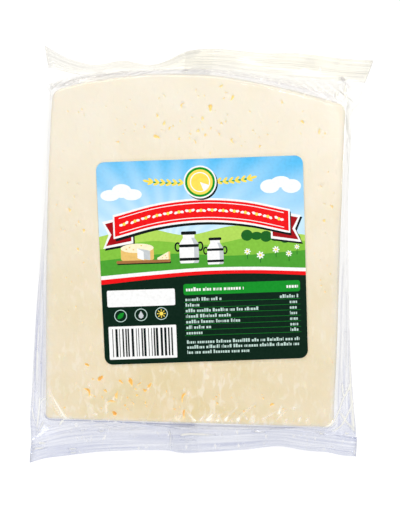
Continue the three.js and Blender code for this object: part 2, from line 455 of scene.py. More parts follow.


# The cheese's look. A pair of colours is for the cut end and for the crown: the crown's are paler and whiter,
# partly the cheese's own colour and partly painted light, where the light falls strongest
cheeseLook = {
    "creamiestLeastLit": (-0.009, -0.061, 0.012),  # a place, in metres: the deepest cream, with the least painted light
    "creamyLitReach": 0.128,  # from there to the palest cheese, in metres, where the painted light is strongest
    "deep": ((0.70, 0.563, 0.275), (0.81, 0.742, 0.603)),
    "pale": ((0.76, 0.618, 0.37), (0.83, 0.768, 0.648)),
    "rim": ((1.12, 1.19, 1.42), (0.80, 0.85, 0.95)),  # by which the colour is multiplied there: painted light at the cut end's rim and sides, painted shade at the crown's rim
    "patches": {"Scale": 75.0, "Fineness": 3.0, "Contrast": 3.0},
    "curd": (0.84, 0.77, 0.60),
    "curdShare": 0.18,
    "curdGrain": {"Scale": 420.0, "Fineness": 4.0, "Contrast": 1.6},
    # pale marks where the film has stuck and slid
    "marks": (0.87, 0.80, 0.68),
    "markSlant": 22.0,
    "markStretch": 0.42,
    "markNoise": (430.0, 3.0, 0.55, 0.6),  # scale, detail, roughness and distortion
    "markCut": (8.0, -4.1),  # contrast and offset
    "spreadNoise": (60.0, 2.0),  # where the marks gather: scale and detail
    "spreadCut": (4.0, -1.2),
    "markShare": (-0.45, 0.62),  # how strong: what the crown adds, and the cut end's
    # pinholes too small to cut
    "specks": (0.92, 0.62, 0.22),
    "speckShare": 0.3,
    "speckScale": 260.0,
    "speckSpread": (70.0, 2.0),  # where they gather: scale and detail
    "speckLeast": 0.52,  # they lie only where that noise is above this
    "speckSize": 0.9,
    # the cut holes, from shallow to deep: their own orange, darker towards the bottom with painted shade
    "pits": [
        (0.0, (0.94, 0.76, 0.46)), (0.35, (0.95, 0.66, 0.26)),
        (0.7, (0.92, 0.48, 0.05)), (1.0, (0.76, 0.27, 0.006)),
    ],
    # golden holes towards the crown: painted light
    "crownPits": (0.98, 0.74, 0.20),
    "crownPitShare": 0.65,
    "pitEdge": 3.5,  # how sharply their colour sets in
    # the whole surface
    "roughness": (0.25, 0.38),  # what the curd adds, and the least
    "bump": (0.35, 0.0002),  # strength and height, in metres
    "waxy": {  # how light spreads inside it
        "Subsurface Weight": 0.2,
        "Subsurface Radius": (1.0, 0.6, 0.3),
        "Subsurface Scale": 0.0015,
    },
}


def makeCheeseMaterial():
    look = cheeseLook
    material, tree, shader = newMaterial("white cheese")
    place, split = objectPlace(tree)
    hole, rim = readPoints(tree, "hole", "rim")
    # how far towards the crown, which sets the painted light: paler cheese and paler holes there
    away = makeNode(tree, "VectorMath", {0: place, 1: look["creamiestLeastLit"]}, operation="DISTANCE")
    crownward = mathNode(tree, "MULTIPLY", away.outputs["Value"], 1 / look["creamyLitReach"])
    crownward = scaled(tree, split["X"], -1.0, crownward, True)
    deep, pale, rimLightShade = (mixColour(tree, crownward, *look[name]) for name in ("deep", "pale", "rim"))
    patches = placeGroup(tree, mottling, look["patches"])["Mask"]
    curd = placeGroup(tree, mottling, look["curdGrain"])
    grains = mathNode(tree, "MULTIPLY", curd["Mask"], look["curdShare"])
    body = mixColour(tree, grains, mixColour(tree, patches, deep, pale), look["curd"])
    turn = (0, 0, math.radians(look["markSlant"]))
    turned = {"Vector": place, "Rotation": turn, "Scale": (1.0, look["markStretch"], 1.0)}
    slant = makeNode(tree, "Mapping", turned).outputs["Vector"]
    marks = scaled(tree, noiseNode(tree, slant, *look["markNoise"]), *look["markCut"], True)
    spread = scaled(tree, noiseNode(tree, place, *look["spreadNoise"]), *look["spreadCut"], True)
    marks = mathNode(tree, "MULTIPLY", marks, spread)
    marks = mathNode(tree, "MULTIPLY", marks, scaled(tree, crownward, *look["markShare"]))
    body = mixColour(tree, marks, body, look["marks"])
    # painted light and shade at the rim and down the sides: lighter and bluer at the cut end, darker at the
    # crown's rim
    body = mixColour(tree, rim, body, rimLightShade, "MULTIPLY")
    specks = makeNode(tree, "TexVoronoi", {"Vector": place, "Scale": look["speckScale"]})
    rare = noiseNode(tree, place, *look["speckSpread"])
    rare = mathNode(tree, "SUBTRACT", rare, look["speckLeast"], clamp=True)
    reach = mathNode(tree, "MULTIPLY", rare, look["speckSize"])
    speck = mathNode(tree, "LESS_THAN", specks.outputs["Distance"], reach)
    body = mixColour(tree, mathNode(tree, "MULTIPLY", speck, look["speckShare"]), body, look["specks"])
    # paler, more golden holes towards the crown: painted light
    golden = mathNode(tree, "MULTIPLY", crownward, look["crownPitShare"])
    pit = mixColour(tree, golden, rampNode(tree, hole, look["pits"]), look["crownPits"])
    inside = mathNode(tree, "MULTIPLY", hole, look["pitEdge"], clamp=True)
    feed(tree, shader, {
        "Base Color": mixColour(tree, inside, body, pit),
        "Roughness": scaled(tree, curd["Height"], *look["roughness"]),
        "Normal": bumpNode(tree, curd["Height"], *look["bump"]),
        **look["waxy"],
    })
    return material


def makeCheese():
    rim, low, high = cheese["rim"], cheese["low"], cheese["high"]
    edge, normal = cheeseOutline()
    count = len(edge)
    inner = edge - normal * rim
    # rings from the underside's rim, up the side, to the top's rim
    quarter = np.linspace(0, math.pi / 2, 4)
    levels = [(rim * (1 - math.sin(a)), low + rim * (1 - math.cos(a))) for a in quarter]
    sideRings = round((high - low - 2 * rim) / cheese["step"])
    levels += [(0.0, height) for height in np.linspace(low + rim, high - rim, sideRings)[1:-1]]
    levels += [(rim * (1 - math.sin(a)), high - rim * (1 - math.cos(a))) for a in quarter[::-1]]
    along = np.arange(count) * cheese["step"]
    around = count * cheese["step"]
    draw = np.random.default_rng(23)
    # pits in the sides: place, height, half-length and half-width
    ranges = ((0, around), (low + 2, high - 2), (0.6, 1.3), (0.4, 0.8))
    pits = [[draw.uniform(*limits) for limits in ranges] for _ in range(cheese["sideHoles"])]
    # where the rim's painted light and shade lie: all round it at the cut end, only on the crown's own side
    # at the crown
    towardCrown, nearCrown = np.clip(normal[:, 1], 0, 1), rampIn(edge[:, 1], -5, 45)
    rings, sideTone, sideRim = [], [], []
    for k, (inset, height) in enumerate(levels):
        middle = math.sin(math.pi * (height - low) / (high - low))
        rough = waves(along, np.full(count, height), [23, 7, 3.1], 11) * cheese["rough"] * middle
        dent = np.zeros(count)
        for place, level, long, wide in pits:
            away = (along - place + around / 2) % around - around / 2
            dent = np.maximum(dent, 1 - (away / long) ** 2 - ((height - level) / wide) ** 2)
        dent = easeIn(dent)
        xy = edge + normal * (rough - inset - 0.6 * dent)[:, None]
        if k in (0, len(levels) - 1):
            xy = inner
        rings.append(np.column_stack([xy, np.full(count, height)]))
        # side pits darker in their hollow: painted shade
        sideTone.append(0.8 * dent)
        deep = easeIn(min(height - low, high - height) / 2.5)
        sideRim.append(mix(mix(1.0, 0.5, deep), towardCrown * mix(0.2, 0.6, deep), nearCrown))
    topHoles, underHoles = scatterHoles("top", 21), scatterHoles("underside", 22)
    top, topDepth, topTone, topFaces = faceMesh(inner, topHoles, 31)
    under, underDepth, underTone, underFaces = faceMesh(inner, underHoles, 32)
    relief = waves(top[:, 0], top[:, 1], [34, 15, 7], 5) * cheese["relief"]
    topPoints = np.column_stack([top, high - topDepth + relief * (np.arange(len(top)) >= count)])
    underPoints = np.column_stack([under, low + underDepth])
    points = np.concatenate([topPoints, underPoints, *rings[1:-1]])
    hole = np.concatenate([topTone, underTone, *sideTone[1:-1]])
    faceRims = [np.r_[0.6 * (1 - nearCrown), np.zeros(len(flat) - count)] for flat in (top, under)]
    first = len(top)
    starts = [first] + [len(top) + len(under) + k * count for k in range(len(rings) - 2)] + [0]
    faces = [list(face) for face in topFaces]
    faces += [[first + i for i in reversed(face)] for face in underFaces]
    faces += ringFaces(starts, count)
    piece = newPiece("cheese", points, faces, [makeCheeseMaterial()])
    paintPoints(piece, {"hole": hole, "rim": np.concatenate([*faceRims, *sideRim[1:-1]])})
    print("cheese:", len(topHoles) + len(underHoles) + len(pits), "holes,", len(faces), "faces")


# The film: a lay-flat tube, drawn over the slab by the two end seals
film = {
    "columns": 110,  # across one layer
    "rows": 130,
    "width": 133.6,
    "packWidth": 132.4,  # as it lies, by which the outline's places are read
    # from seal to seal, by a place across the film
    "lengths": [(-66, 153.4), (-45, 155.7), (-12, 158.0), (12, 156.6), (30, 154.0), (54, 151.3), (66, 150.8)],
    "climb": 10.8,  # length of film from the bottom seal up to the slab
    "fall": 9.8,  # and from the slab down to the top one
    "gap": 0.1,
    "cling": 0.08,  # how strongly the film is drawn onto the slab's flat faces
    "foldHeight": 9.2,
    "steps": 360,
    "drift": (0.9, 0.6),  # how much of its motion the film keeps, first and near the end
    "calmFrom": 0.8,  # in shares of the steps
    "driftLimit": 0.3,
    "bend": 0.15,
    "stretch": 0.95,  # how fully a length that is too long is drawn in
    "squeeze": 0.35,  # and one that is too short is let out
    "slantStretch": 0.5,
    "slantSqueeze": 0.6,  # in shares of squeeze
    "floorGap": 0.26,
    "labelGap": 0.08,
    "labelMargin": 1.5,
    "sidePull": 0.15,  # towards the pack's outline
    "sideRise": 0.3,  # towards the height of the side folds
    "half": 0.12,  # half a seal's thickness
    "ribCount": 12,
    "ribRows": 3,
    "ribHeight": 0.13,
    "sealBow": 0.6,
    "sealWave": 0.35,
    "sealClose": 0.8,  # width over which the two layers meet at each side
    "topStep": 0.4,  # spacing of the finished mesh, in columns and rows of the simulated one
    "underStep": 2.0,
    "fineStep": 0.4,
    "fineRows": (20, 20),
}


def slabDistance(p):
    # how far each point lies outside the rounded slab, the same seen from above, and the way straight out
    crown = crownAt(p[..., 0])
    left, right = leftAt(p[..., 1]), rightAt(p[..., 1])
    centreX = (left + right) / 2
    centreY = (cheese["bottom"] + crown) / 2
    centreZ = (cheese["low"] + cheese["high"]) / 2
    corner, rim, spare = 2.2, cheese["rim"], 0.1  # spare for the sides' bulge
    dx = np.abs(p[..., 0] - centreX) - ((right - left) / 2 + spare)
    dy = np.abs(p[..., 1] - centreY) - ((crown - cheese["bottom"]) / 2 + spare)
    dz = np.abs(p[..., 2] - centreZ) - (cheese["high"] - cheese["low"]) / 2
    qx, qy = np.maximum(dx + corner, 0), np.maximum(dy + corner, 0)
    bend = np.hypot(qx, qy)
    flat = bend + np.minimum(np.maximum(dx, dy) + corner, 0) - corner
    aside = np.where(bend > 0, qx / np.maximum(bend, 1e-9), dx > dy)
    along = np.where(bend > 0, qy / np.maximum(bend, 1e-9), dx <= dy)
    qo, qz = np.maximum(flat + rim, 0), np.maximum(dz + rim, 0)
    turn = np.hypot(qo, qz)
    distance = turn + np.minimum(np.maximum(flat, dz) + rim, 0) - rim
    outward = np.where(turn > 0, qo / np.maximum(turn, 1e-9), flat > dz)
    upward = np.where(turn > 0, qz / np.maximum(turn, 1e-9), flat <= dz)
    way = np.stack([
        outward * aside * np.sign(p[..., 0] - centreX),
        outward * along * np.sign(p[..., 1] - centreY),
        upward * np.sign(p[..., 2] - centreZ),
    ], -1)
    return distance, flat, way


def pushOut(p, gap, cling=0.0):
    # moves points to the outside of the slab, at the given gap from it
    distance, flat, way = slabDistance(p)
    push = np.maximum(gap - distance, 0)
    if cling > 0:  # over the flat faces the film is drawn in as well
        above = (flat < -cheese["rim"]) & (distance > gap) & (distance < 6)
        push = np.where(above, -cling * (distance - gap), push)
    p += push[..., None] * way


def drawTogether(a, b, rest, stretch, squeeze):
    # moves two neighbouring points of the film towards their real distance
    gap = b - a
    length = np.sqrt(np.einsum("...k,...k", gap, gap))[..., None] + 1e-9
    gap *= np.where(length > rest, stretch, squeeze) * 0.5 * (1 - rest / length)
    a += gap
    b -= gap


def layFilm():
    # the film before it settles: straight over the slab's edges, flat at the seals
    n, m, width = film["columns"], film["rows"], film["width"]
    across = np.linspace(-0.5, 0.5, n + 1)[None, :] + np.zeros((m + 1, 1))
    share = np.linspace(0, 1, m + 1)[:, None] + np.zeros((1, n + 1))
    nominal = across * film["packWidth"]
    slabLeft, slabRight = float(leftAt(0)), float(rightAt(0))
    slopeX = (width - (slabRight - slabLeft)) / 2
    riseX = np.clip((0.5 - np.abs(across)) * width / slopeX, 0, 1)
    half = width / 2 - slopeX
    middle = (slabLeft + slabRight) / 2
    topX = np.clip(across * width, -half, half) + middle
    length = curveThrough(film["lengths"], nominal)
    climb, fall = film["climb"] / length, film["fall"] / length
    riseB = np.clip(share / climb, 0, 1)
    riseT = np.clip((1 - share) / fall, 0, 1)
    inner = np.clip((share - climb) / (1 - climb - fall), 0, 1)
    crown, bottom = crownAt(topX), cheese["bottom"]
    y = mix(bottom, crown, inner)
    y = np.where(riseB < 1, mix(outline("bottomSealLine", nominal), bottom, riseB), y)
    y = np.where(riseT < 1, mix(outline("topSealLine", nominal), crown, riseT), y)
    left, right = outline("leftEdge", y), outline("rightEdge", y)
    folded = mix(np.where(across < 0, left, right), topX, riseX)
    x = mix(mix(left, right, across + 0.5), folded, np.minimum(riseB, riseT))
    ends = np.where(share < 0.5, outline("bottomSealHeight", nominal), outline("topSealHeight", nominal))
    between = mix(ends, film["foldHeight"], np.minimum(riseB, riseT))
    rise = np.minimum(np.minimum(riseB, riseT), riseX)
    top = np.stack([x, y, mix(between, cheese["high"] + 0.1, rise)], -1)
    under = np.stack([x, y, mix(between, cheese["low"] - 0.1, rise)], -1)
    return np.concatenate([top, under[:, -2:0:-1]], 1)


def layerBoundary(p):
    # the height that parts the upper layer from the lower one: that of the folds, away from the seals
    awayBottom, awayTop = 10, 8
    toBottom = np.clip((p[..., 1] - outline("bottomSealLine", p[..., 0])) / awayBottom, 0, 1)
    toTop = np.clip((outline("topSealLine", p[..., 0]) - p[..., 1]) / awayTop, 0, 1)
    low = mix(outline("bottomSealHeight", p[..., 0]), film["foldHeight"], toBottom)
    high = mix(outline("topSealHeight", p[..., 0]), film["foldHeight"], toTop)
    return np.where(p[..., 1] < 0, low, high)


def settleFilm():
    # cloth simulation of the tube: real distances between neighbours, the slab inside, the seals held
    p = layFilm()
    n, m = film["columns"], film["rows"]
    count = 2 * n
    around = film["width"] / n
    columns = np.arange(count)
    layer = np.minimum(columns, count - columns) / n - 0.5
    along = (curveThrough(film["lengths"], layer * film["packWidth"]) / m)[None, :, None]
    slanted = np.hypot(around, along)
    draw = np.random.default_rng(5)
    p[1:-1] += draw.normal(0, 0.05, p[1:-1].shape)
    held = p[[0, -1]].copy()
    last = p.copy()
    bend, stretch, squeeze = film["bend"], film["stretch"], film["squeeze"]
    slantStretch, slantSqueeze = film["slantStretch"], squeeze * film["slantSqueeze"]
    for step in range(film["steps"]):
        kept = film["drift"][int(step >= film["steps"] * film["calmFrom"])]
        drift = np.clip((p - last) * kept, -film["driftLimit"], film["driftLimit"])
        last = p.copy()
        p += drift
        p[[0, -1]] = held
        for _ in range(2):
            for k in (0, 1):
                drawTogether(p[k:m:2], p[k + 1:m + 1:2], along, stretch, squeeze)
            p[[0, -1]] = held
            for a, b in ((p[:, 0::2], p[:, 1::2]), (p[:, 1:-1:2], p[:, 2::2]), (p[:, -1], p[:, 0])):
                drawTogether(a, b, around, stretch, squeeze)
            for k in (0, 1):
                a, b = p[k:m:2], p[k + 1:m + 1:2]
                drawTogether(a[:, :-1], b[:, 1:], slanted[:, :-1], slantStretch, slantSqueeze)
                drawTogether(a[:, 1:], b[:, :-1], slanted[:, 1:], slantStretch, slantSqueeze)
                drawTogether(a[:, -1], b[:, 0], slanted[:, 0], slantStretch, slantSqueeze)
                drawTogether(a[:, 0], b[:, -1], slanted[:, 0], slantStretch, slantSqueeze)
            for k in range(4):  # stiffness against bending, apart from the two side folds
                stiff = np.where(columns[k + 1:count - 1:4] == n, 0.0, bend)[None, :, None]
                drawTogether(p[:, k:count - 2:4], p[:, k + 2:count:4], 2 * around, 0.0, stiff)
                drawTogether(p[k:m - 1:4], p[k + 2:m + 1:4], 2 * along, 0.0, bend)
            p[[0, -1]] = held
            pushOut(p, film["gap"], film["cling"])
            parting = layerBoundary(p)
            p[:, 1:n, 2] = np.maximum(p[:, 1:n, 2], parting[:, 1:n] + film["half"])
            p[:, n + 1:, 2] = np.clip(p[:, n + 1:, 2], film["floorGap"], parting[:, n + 1:] - film["half"])
            under = labelMask(p[..., 0], p[..., 1], film["labelMargin"])
            p[..., 2] = np.where(under, np.minimum(p[..., 2], label["low"] - film["labelGap"]), p[..., 2])
            for column, side in ((0, "leftEdge"), (n, "rightEdge")):
                fold = p[1:-1, column]
                fold[:, 0] += (outline(side, fold[:, 1]) - fold[:, 0]) * film["sidePull"]
                fold[:, 2] += (parting[1:-1, column] - fold[:, 2]) * film["sideRise"]
            p[[0, -1]] = held
    print("film settled, highest point", round(float(p[..., 2].max()), 2), "mm")
    return p


def splineBetween(a, b, c, d, t):
    # a smooth curve from b to c that takes its direction from the points before and after
    return 0.5 * (2 * b + (c - a) * t + (2 * a - 5 * b + 4 * c - d) * t**2 + (3 * b - a - 3 * c + d) * t**3)


def resample(p, places, axis, cyclic):
    # the same smooth curve through all the points of one axis, read at finer places
    p = np.moveaxis(p, axis, 0)
    count = len(p)
    i = np.floor(places).astype(int)
    if not cyclic:
        i = np.minimum(i, count - 2)
    t = (places - i)[:, None, None]
    at = [(i + k) % count if cyclic else np.clip(i + k, 0, count - 1) for k in (-1, 0, 1, 2)]
    return np.moveaxis(splineBetween(*(p[k] for k in at), t), 0, axis)


def pathThrough(points, step=0.3):
    # a smooth path through a few points, read every step
    points = np.asarray(points, float)
    padded = np.concatenate([2 * points[:1] - points[1:2], points, 2 * points[-1:] - points[-2:-1]])
    made = []
    for a, b, c, d in zip(padded, padded[1:], padded[2:], padded[3:]):
        t = np.linspace(0, 1, max(int(np.hypot(*(c - b)) / step), 2), endpoint=False)[:, None]
        made.append(splineBetween(a, b, c, d, t))
    return np.concatenate(made + [points[-1:]])


# Creases in the film: the points that each runs through, its width, its height and how white it is, a painted
# highlight with some whitening of the creased film. Below 0, the last number says how blue it is, a painted
# shade.
creases = {
    "lower left corner": [
        ([(-49.9, -63.2), (-51.6, -61.6), (-54.6, -56.8), (-58.4, -50.6)], 0.5, 0.2, 1),
        ([(-51.8, -62.6), (-55, -58.6), (-58.2, -51.6)], 0.32, 0.1, 0.8),
        ([(-52.4, -63.3), (-50.2, -63), (-47.6, -63.3)], 0.55, 0.1, 0.9),
        ([(-52, -63.6), (-53, -65.4), (-53.9, -67.8)], 0.6, 0.3, 1),
        ([(-58.9, -67), (-57.9, -67.4), (-56.5, -66.3)], 0.35, 0.2, 0.8),
    ],
    "left strip": [
        ([(-63, -36), (-63.2, -46), (-63.2, -55.4)], 0.85, 0.2, 0.75),
        ([(-65.4, -60), (-64.6, -64), (-63.9, -66.4), (-62.9, -69.5)], 0.45, 0.3, 0.9),
        ([(-61.6, -54.5), (-62.2, -62), (-63.1, -69.5), (-63.7, -74.5)], 0.45, 0.2, 1),
        ([(-60.2, -65.2), (-61.9, -69.5), (-62.7, -71.5)], 0.42, 0.1, 0.8),
        ([(-58.8, -54.7), (-60.6, -56.4), (-61.8, -59.6)], 0.42, 0.15, 0.8),
        ([(-62.6, -26), (-62.9, -32.5), (-62.6, -37)], 0.45, 0.2, 0.7),
        ([(-59.6, -46), (-59.8, -54), (-59.6, -61.5)], 0.5, 0, -0.55),
        ([(-64.2, -51.2), (-64, -43.9), (-63.4, -30.4), (-62.3, -14), (-61.7, 1.5)], 0.5, 0, -0.35),
    ],
    "right corner": [
        ([(49.6, -64), (53.6, -62.2), (56.6, -58.6), (59, -52.6), (61.4, -48.2), (68, -34)], 0.5, 0.3, 1),
        ([(54.6, -66), (58.8, -62.8), (61.8, -58.2), (63.2, -55), (69, -41)], 0.5, 0.3, 1),
        ([(57.8, -57), (60.8, -61.6), (64.2, -65.6), (69.5, -71)], 0.5, 0.3, 1),
        ([(58.4, -45.2), (58.9, -49.3), (59.7, -51.2), (61.4, -49.2), (66, -43)], 0.5, 0.25, 1),
        ([(60.4, -66.6), (61.8, -67), (62.6, -66.4)], 0.5, 0.2, 1),
    ],
    "right strip": [
        ([(64.6, -67.5), (63.7, -59), (62.2, -47), (61.2, -34), (60.6, -24)], 0.6, 0.2, 1),
        ([(64.4, -67), (63.7, -59), (62.8, -51), (62, -43), (61.4, -33)], 1.5, 0, 0.6),
        ([(58.6, -24), (59.4, -34), (60, -42)], 0.35, 0.15, 0.6),
        ([(56.7, 4), (56.6, -12.6), (56.9, -24.7), (57, -41), (57.1, -53)], 0.5, 0, -0.6),
        ([(58.7, -8), (59.3, -22), (59.7, -33.2), (60, -47.5)], 0.45, 0, -0.55),
    ],
    "tent": [
        ([(51.1, 69.4), (51.2, 67.3), (53.1, 64.6)], 0.5, 0.5, 0.8),
        ([(54.9, 72.2), (54.7, 68.5), (56, 62.7)], 0.45, 0.6, 0.9),
        ([(52.9, 75.3), (54.3, 73), (56.2, 71), (58.8, 68.9)], 0.5, 0.5, -0.8),
        ([(52.9, 72.4), (53.7, 68), (54.2, 64.6)], 1, 0, -0.5),
    ],
    "crown": [
        ([(-2, 76.4), (13.6, 74.6), (29.2, 72.6), (44.8, 70.6), (52.4, 70.9)], 0.4, 0.4, 0.35),
        ([(8, 75), (24, 73.2), (38, 70.4), (50, 68.2)], 0.35, 0.3, 0.25),
        ([(-49, 69.9), (-40, 71.8), (-28, 73.9)], 0.6, 0.3, 0.4),
        ([(18.4, 74.2), (27.3, 72.7), (35.1, 71.3), (41, 70), (48.9, 67.9)], 0.4, 0, -0.3),
    ],
    "top seal": [
        ([(-4, 79.2), (6.5, 77.7), (17.5, 76.5), (30, 75.6)], 0.45, 0, -0.12),
    ],
    "bottom seal": [
        ([(-10.4, -68.6), (-9.7, -69.9), (-9.2, -71.8), (-9.5, -77.2)], 0.4, 0.2, 0.8),
        ([(-5.9, -70.8), (-1.5, -70.1), (5.4, -70.1), (10, -70)], 0.5, 0.12, 1),
        ([(-3.8, -72.9), (-1.4, -72.5), (0.8, -72.5)], 0.35, 0.1, 0.6),
        ([(24.4, -68), (26.7, -68.3), (29.9, -67.9)], 0.4, 0.15, 0.8),
        ([(50.4, -67.9), (52.6, -68.3)], 0.5, 0.2, 1),
        ([(-45.6, -70.2), (-43.3, -69.7)], 0.4, 0.15, 0.9),
        ([(-38.5, -69), (-37.2, -70.2), (-35.1, -68.3)], 0.35, 0.15, 0.8),
    ],
    "left seal": [
        ([(-62.8, -76.1), (-59, -75.9)], 0.5, 0.1, 1),
        ([(-64.2, -78.6), (-59.6, -78.4)], 0.5, 0.1, 0.9),
        ([(-50.4, -78.5), (-46.6, -78.3)], 0.45, 0.1, 0.8),
        ([(-49.8, -80.4), (-46.6, -80.2)], 0.4, 0.1, 0.7),
    ],
}

creaseTaper = 0.3  # how much narrower each gets on its way

# White flicks, painted glints where the film is gathered over the slab's lower edge or drawn into a hole.
# Each has two ends, a width and a whiteness.
flicks = [
    (2.2, -61.9, 3.7, -60.2, 0.5, 0.7), (4.7, -61.9, 7.1, -59.2, 0.6, 1),
    (5.6, -62, 6.9, -60.7, 0.6, 0.9), (8.6, -61.9, 10, -61.2, 0.7, 0.9), (12, -61.8, 13.3, -59.9, 0.8, 1),
    (13.2, -60, 16.1, -56.7, 0.6, 0.3), (17, -61.7, 18, -60, 0.9, 1), (17.9, -60, 22.2, -55.8, 0.9, 0.35),
    (21.1, -60.9, 20.3, -59.7, 0.5, 0.8), (26.5, -60.9, 31.2, -57.9, 0.6, 0.5),
    (33.3, -58.4, 34.1, -55.6, 0.6, 0.9), (38.6, -55.9, 39.8, -55.3, 0.7, 0.6),
    (36.1, -61.1, 36.8, -60.4, 0.6, 0.7), (41.6, -60.9, 42.1, -59.3, 0.6, 0.8),
    (44.5, -60.8, 45.2, -59.4, 0.5, 0.6), (0.4, -62.4, -2.2, -59.1, 0.55, 0.8),
    (-7.1, -62.4, -5, -59.6, 1.2, 0.45), (-34.8, -60.6, -35.1, -55.4, 0.7, 0.55),
    (-38.2, -60.8, -39.8, -60.3, 0.6, 0.8), (-43.4, -61.4, -42.9, -61.9, 0.7, 0.6),
    (-39.3, -60.3, -41.6, -57.5, 0.5, 0.3), (-42.2, -48.2, -41.6, -49.2, 0.6, 0.7),
    (-32.4, -53.4, -32, -54.6, 0.7, 0.7), (-5.1, -49.7, -3.5, -50.1, 0.6, 0.7),
    (-2.8, -50.5, -2.3, -51.9, 0.6, 0.6), (-18.9, -49, -18.4, -49.9, 0.6, 0.6),
]

# Fainter painted glints, drawn at random between them
edgeStrokes = {
    "count": 18, "from": -40.0, "to": 51.0, "length": 3.4, "angle": 56.0, "width": 0.4, "height": 0.07,
    "taper": 0.7, "drawnOut": 1.5, "flickHeight": 0.1,
}


def gatherStrokes():
    draw = np.random.default_rng(61)
    strokes = []
    for x0, y0, x1, y1, width, white in flicks:
        tip = mix(x0, x1, edgeStrokes["drawnOut"]), mix(y0, y1, edgeStrokes["drawnOut"])
        strokes.append(([(x0, y0), tip], width, edgeStrokes["flickHeight"], white))
    for _ in range(edgeStrokes["count"]):
        x = mix(edgeStrokes["from"], edgeStrokes["to"], draw.beta(1.9, 1.5))
        length = edgeStrokes["length"] * draw.lognormal(0, 0.55)
        angle = math.radians(edgeStrokes["angle"] + draw.normal(0, 11))
        bend = draw.normal(0, 0.12) * length
        y = cheese["bottom"] + 0.3 + draw.exponential(0.5)
        tip = (x + length * math.cos(angle), y + length * math.sin(angle))
        strokes.append((
            [(x, y), (mix(x, tip[0], 0.5) + bend, mix(y, tip[1], 0.5)), tip],
            edgeStrokes["width"] * draw.uniform(0.8, 1.8),
            edgeStrokes["height"] * draw.uniform(0.6, 1.3),
            draw.uniform(0.15, 0.6),
        ))
    return strokes


def pressCreases(points, made, taper):
    # raises a narrow ridge along each crease, and says how much painted highlight (white) and painted shade
    # (blue) each point has
    white, shade = np.zeros(len(points)), np.zeros(len(points))
    lift = np.zeros(len(points))
    for knots, width, height, whiteness in made:
        path = pathThrough(knots)
        low, high = path.min(0) - 3 * width, path.max(0) + 3 * width
        near = np.nonzero(((points[:, :2] > low) & (points[:, :2] < high)).all(1))[0]
        if len(near) == 0:
            continue
        gap = points[near, None, :2] - path[None]
        distance = np.sqrt(np.einsum("...k,...k", gap, gap))
        share = distance.argmin(1) / (len(path) - 1)
        fade = easeIn(np.minimum(share / 0.12, (1 - share) / 0.6) + 0.2)
        reach = distance.min(1) / (width * (1 - taper * share))
        lift[near] = np.maximum(lift[near], np.exp(-reach**2) * fade * height)
        mark = np.exp(-0.7 * reach**3) * fade * abs(whiteness)
        kind = white if whiteness > 0 else shade
        kind[near] = np.maximum(kind[near], mark)
    points[:, 2] += lift
    return white, shade


def layerSign(places):
    # 1 on the upper layer, -1 on the lower one and 0 at the two side folds
    n = film["columns"]
    return np.where((places > 0) & (places < n), 1.0, np.where(places > n, -1.0, 0.0))


def sealRows(line, places, edgeName, heightName):
    # one ribbed seal, both layers, from its outer edge to the line where the pouch starts
    n, ribs = film["columns"], film["ribCount"]
    rows = ribs * film["ribRows"]
    across = np.where(places <= n, places / n - 0.5, 1.5 - places / n)
    nominal = across * film["packWidth"]
    outerY = outline(edgeName, nominal)
    outerX = mix(outline("leftEdge", outerY), outline("rightEdge", outerY), across + 0.5)
    outerZ = outline(heightName, nominal)
    toSide = (0.5 - np.abs(across)) * film["packWidth"]
    half = film["half"] * layerSign(places) * np.minimum(1, toSide / film["sealClose"])
    made = []
    for k in range(rows):
        share = k / rows
        x, y, z = (mix(outer, line[:, i], share) for i, outer in enumerate((outerX, outerY, outerZ)))
        z = z + film["sealBow"] * math.sin(math.pi * share)
        uneven = waves(x, y, [29, 13], 41) * film["sealWave"] * (1 - share)
        rib = film["ribHeight"] * math.sin(2 * math.pi * share * ribs) * easeIn((1 - share) * 6)
        rib = rib * (0.75 + 0.5 * waves(x, y, [11, 5], 43))
        made.append(np.column_stack([x, y, np.maximum(z + uneven + rib + half, 0.05)]))
    return np.array(made)


# The film's look: its colours are painted light and shade. Pairs of colours are for its sides and its ends,
# but the shade line's are for cut end and crown
filmLook = {
    "cool": ((0.22, 0.28, 0.62), (0.34, 0.39, 0.64)),  # painted light: bluish at the cut end, away from the light
    # the paler lines at the cut end and, below, at the crown: painted reflections on the wrinkled film
    "coolReflections": (0.78, 0.80, 0.88),
    "warm": ((0.66, 0.66, 0.54), (0.54, 0.51, 0.385)),  # painted light: creamy at the crown, towards the light
    "warmReflections": (0.73, 0.69, 0.53),
    "clinging": (0.90, 0.89, 0.86),
    # painted shade where the film leaves the slab, and along the blue creases
    "shadeLine": ((0.24, 0.27, 0.44), (0.48, 0.455, 0.51)),
    # the painted highlight of creases, flicks and smears, with some whitening of the creased film
    "crease": (1.0, 0.98, 0.89),
    "haze": {"Scale": 38.0, "Fineness": 4.0, "Contrast": 1.8},
    "roughness": (0.06, 0.08),  # what the haze adds, and the least
    "shine": 0.35,
    "silver": (-0.25, 0.25),  # metallic, but not in the white creases
    # painted reflections along lines and painted sheen in smears, all noise: scale across and along the film,
    # roughness, contrast and offset
    "ribReflections": (0.03, 1.0, 0.6, 4.0, -1.5),
    "sideReflections": (0.75, 0.03, 0.6, 3.8, -1.4),
    "sheenSmears": (0.42, 0.2, 0.5, 9.0, -5.6),
    # how much of what lies beneath it hides, part by part
    "plain": (0.03, 0.04),  # everywhere, and what the haze adds
    "fade": (-1.9, 1.0, 0.28),  # towards the crown, and the least that stays
    "grazing": 0.35,
    "grazingCover": 0.13,
    "sheenSmearCover": 0.12,
    "sideCover": (-0.19, 0.225),  # what the lines add, and what lies between them
    "endCover": (-0.09, 0.245),
    "shadeLineCover": 0.5,
    "edgeCover": (0.06, 0.08),  # what a weld adds, and any edge
    "creaseCover": 0.9,
    "shadowLess": -0.8,  # film this thin casts hardly any shadow
}


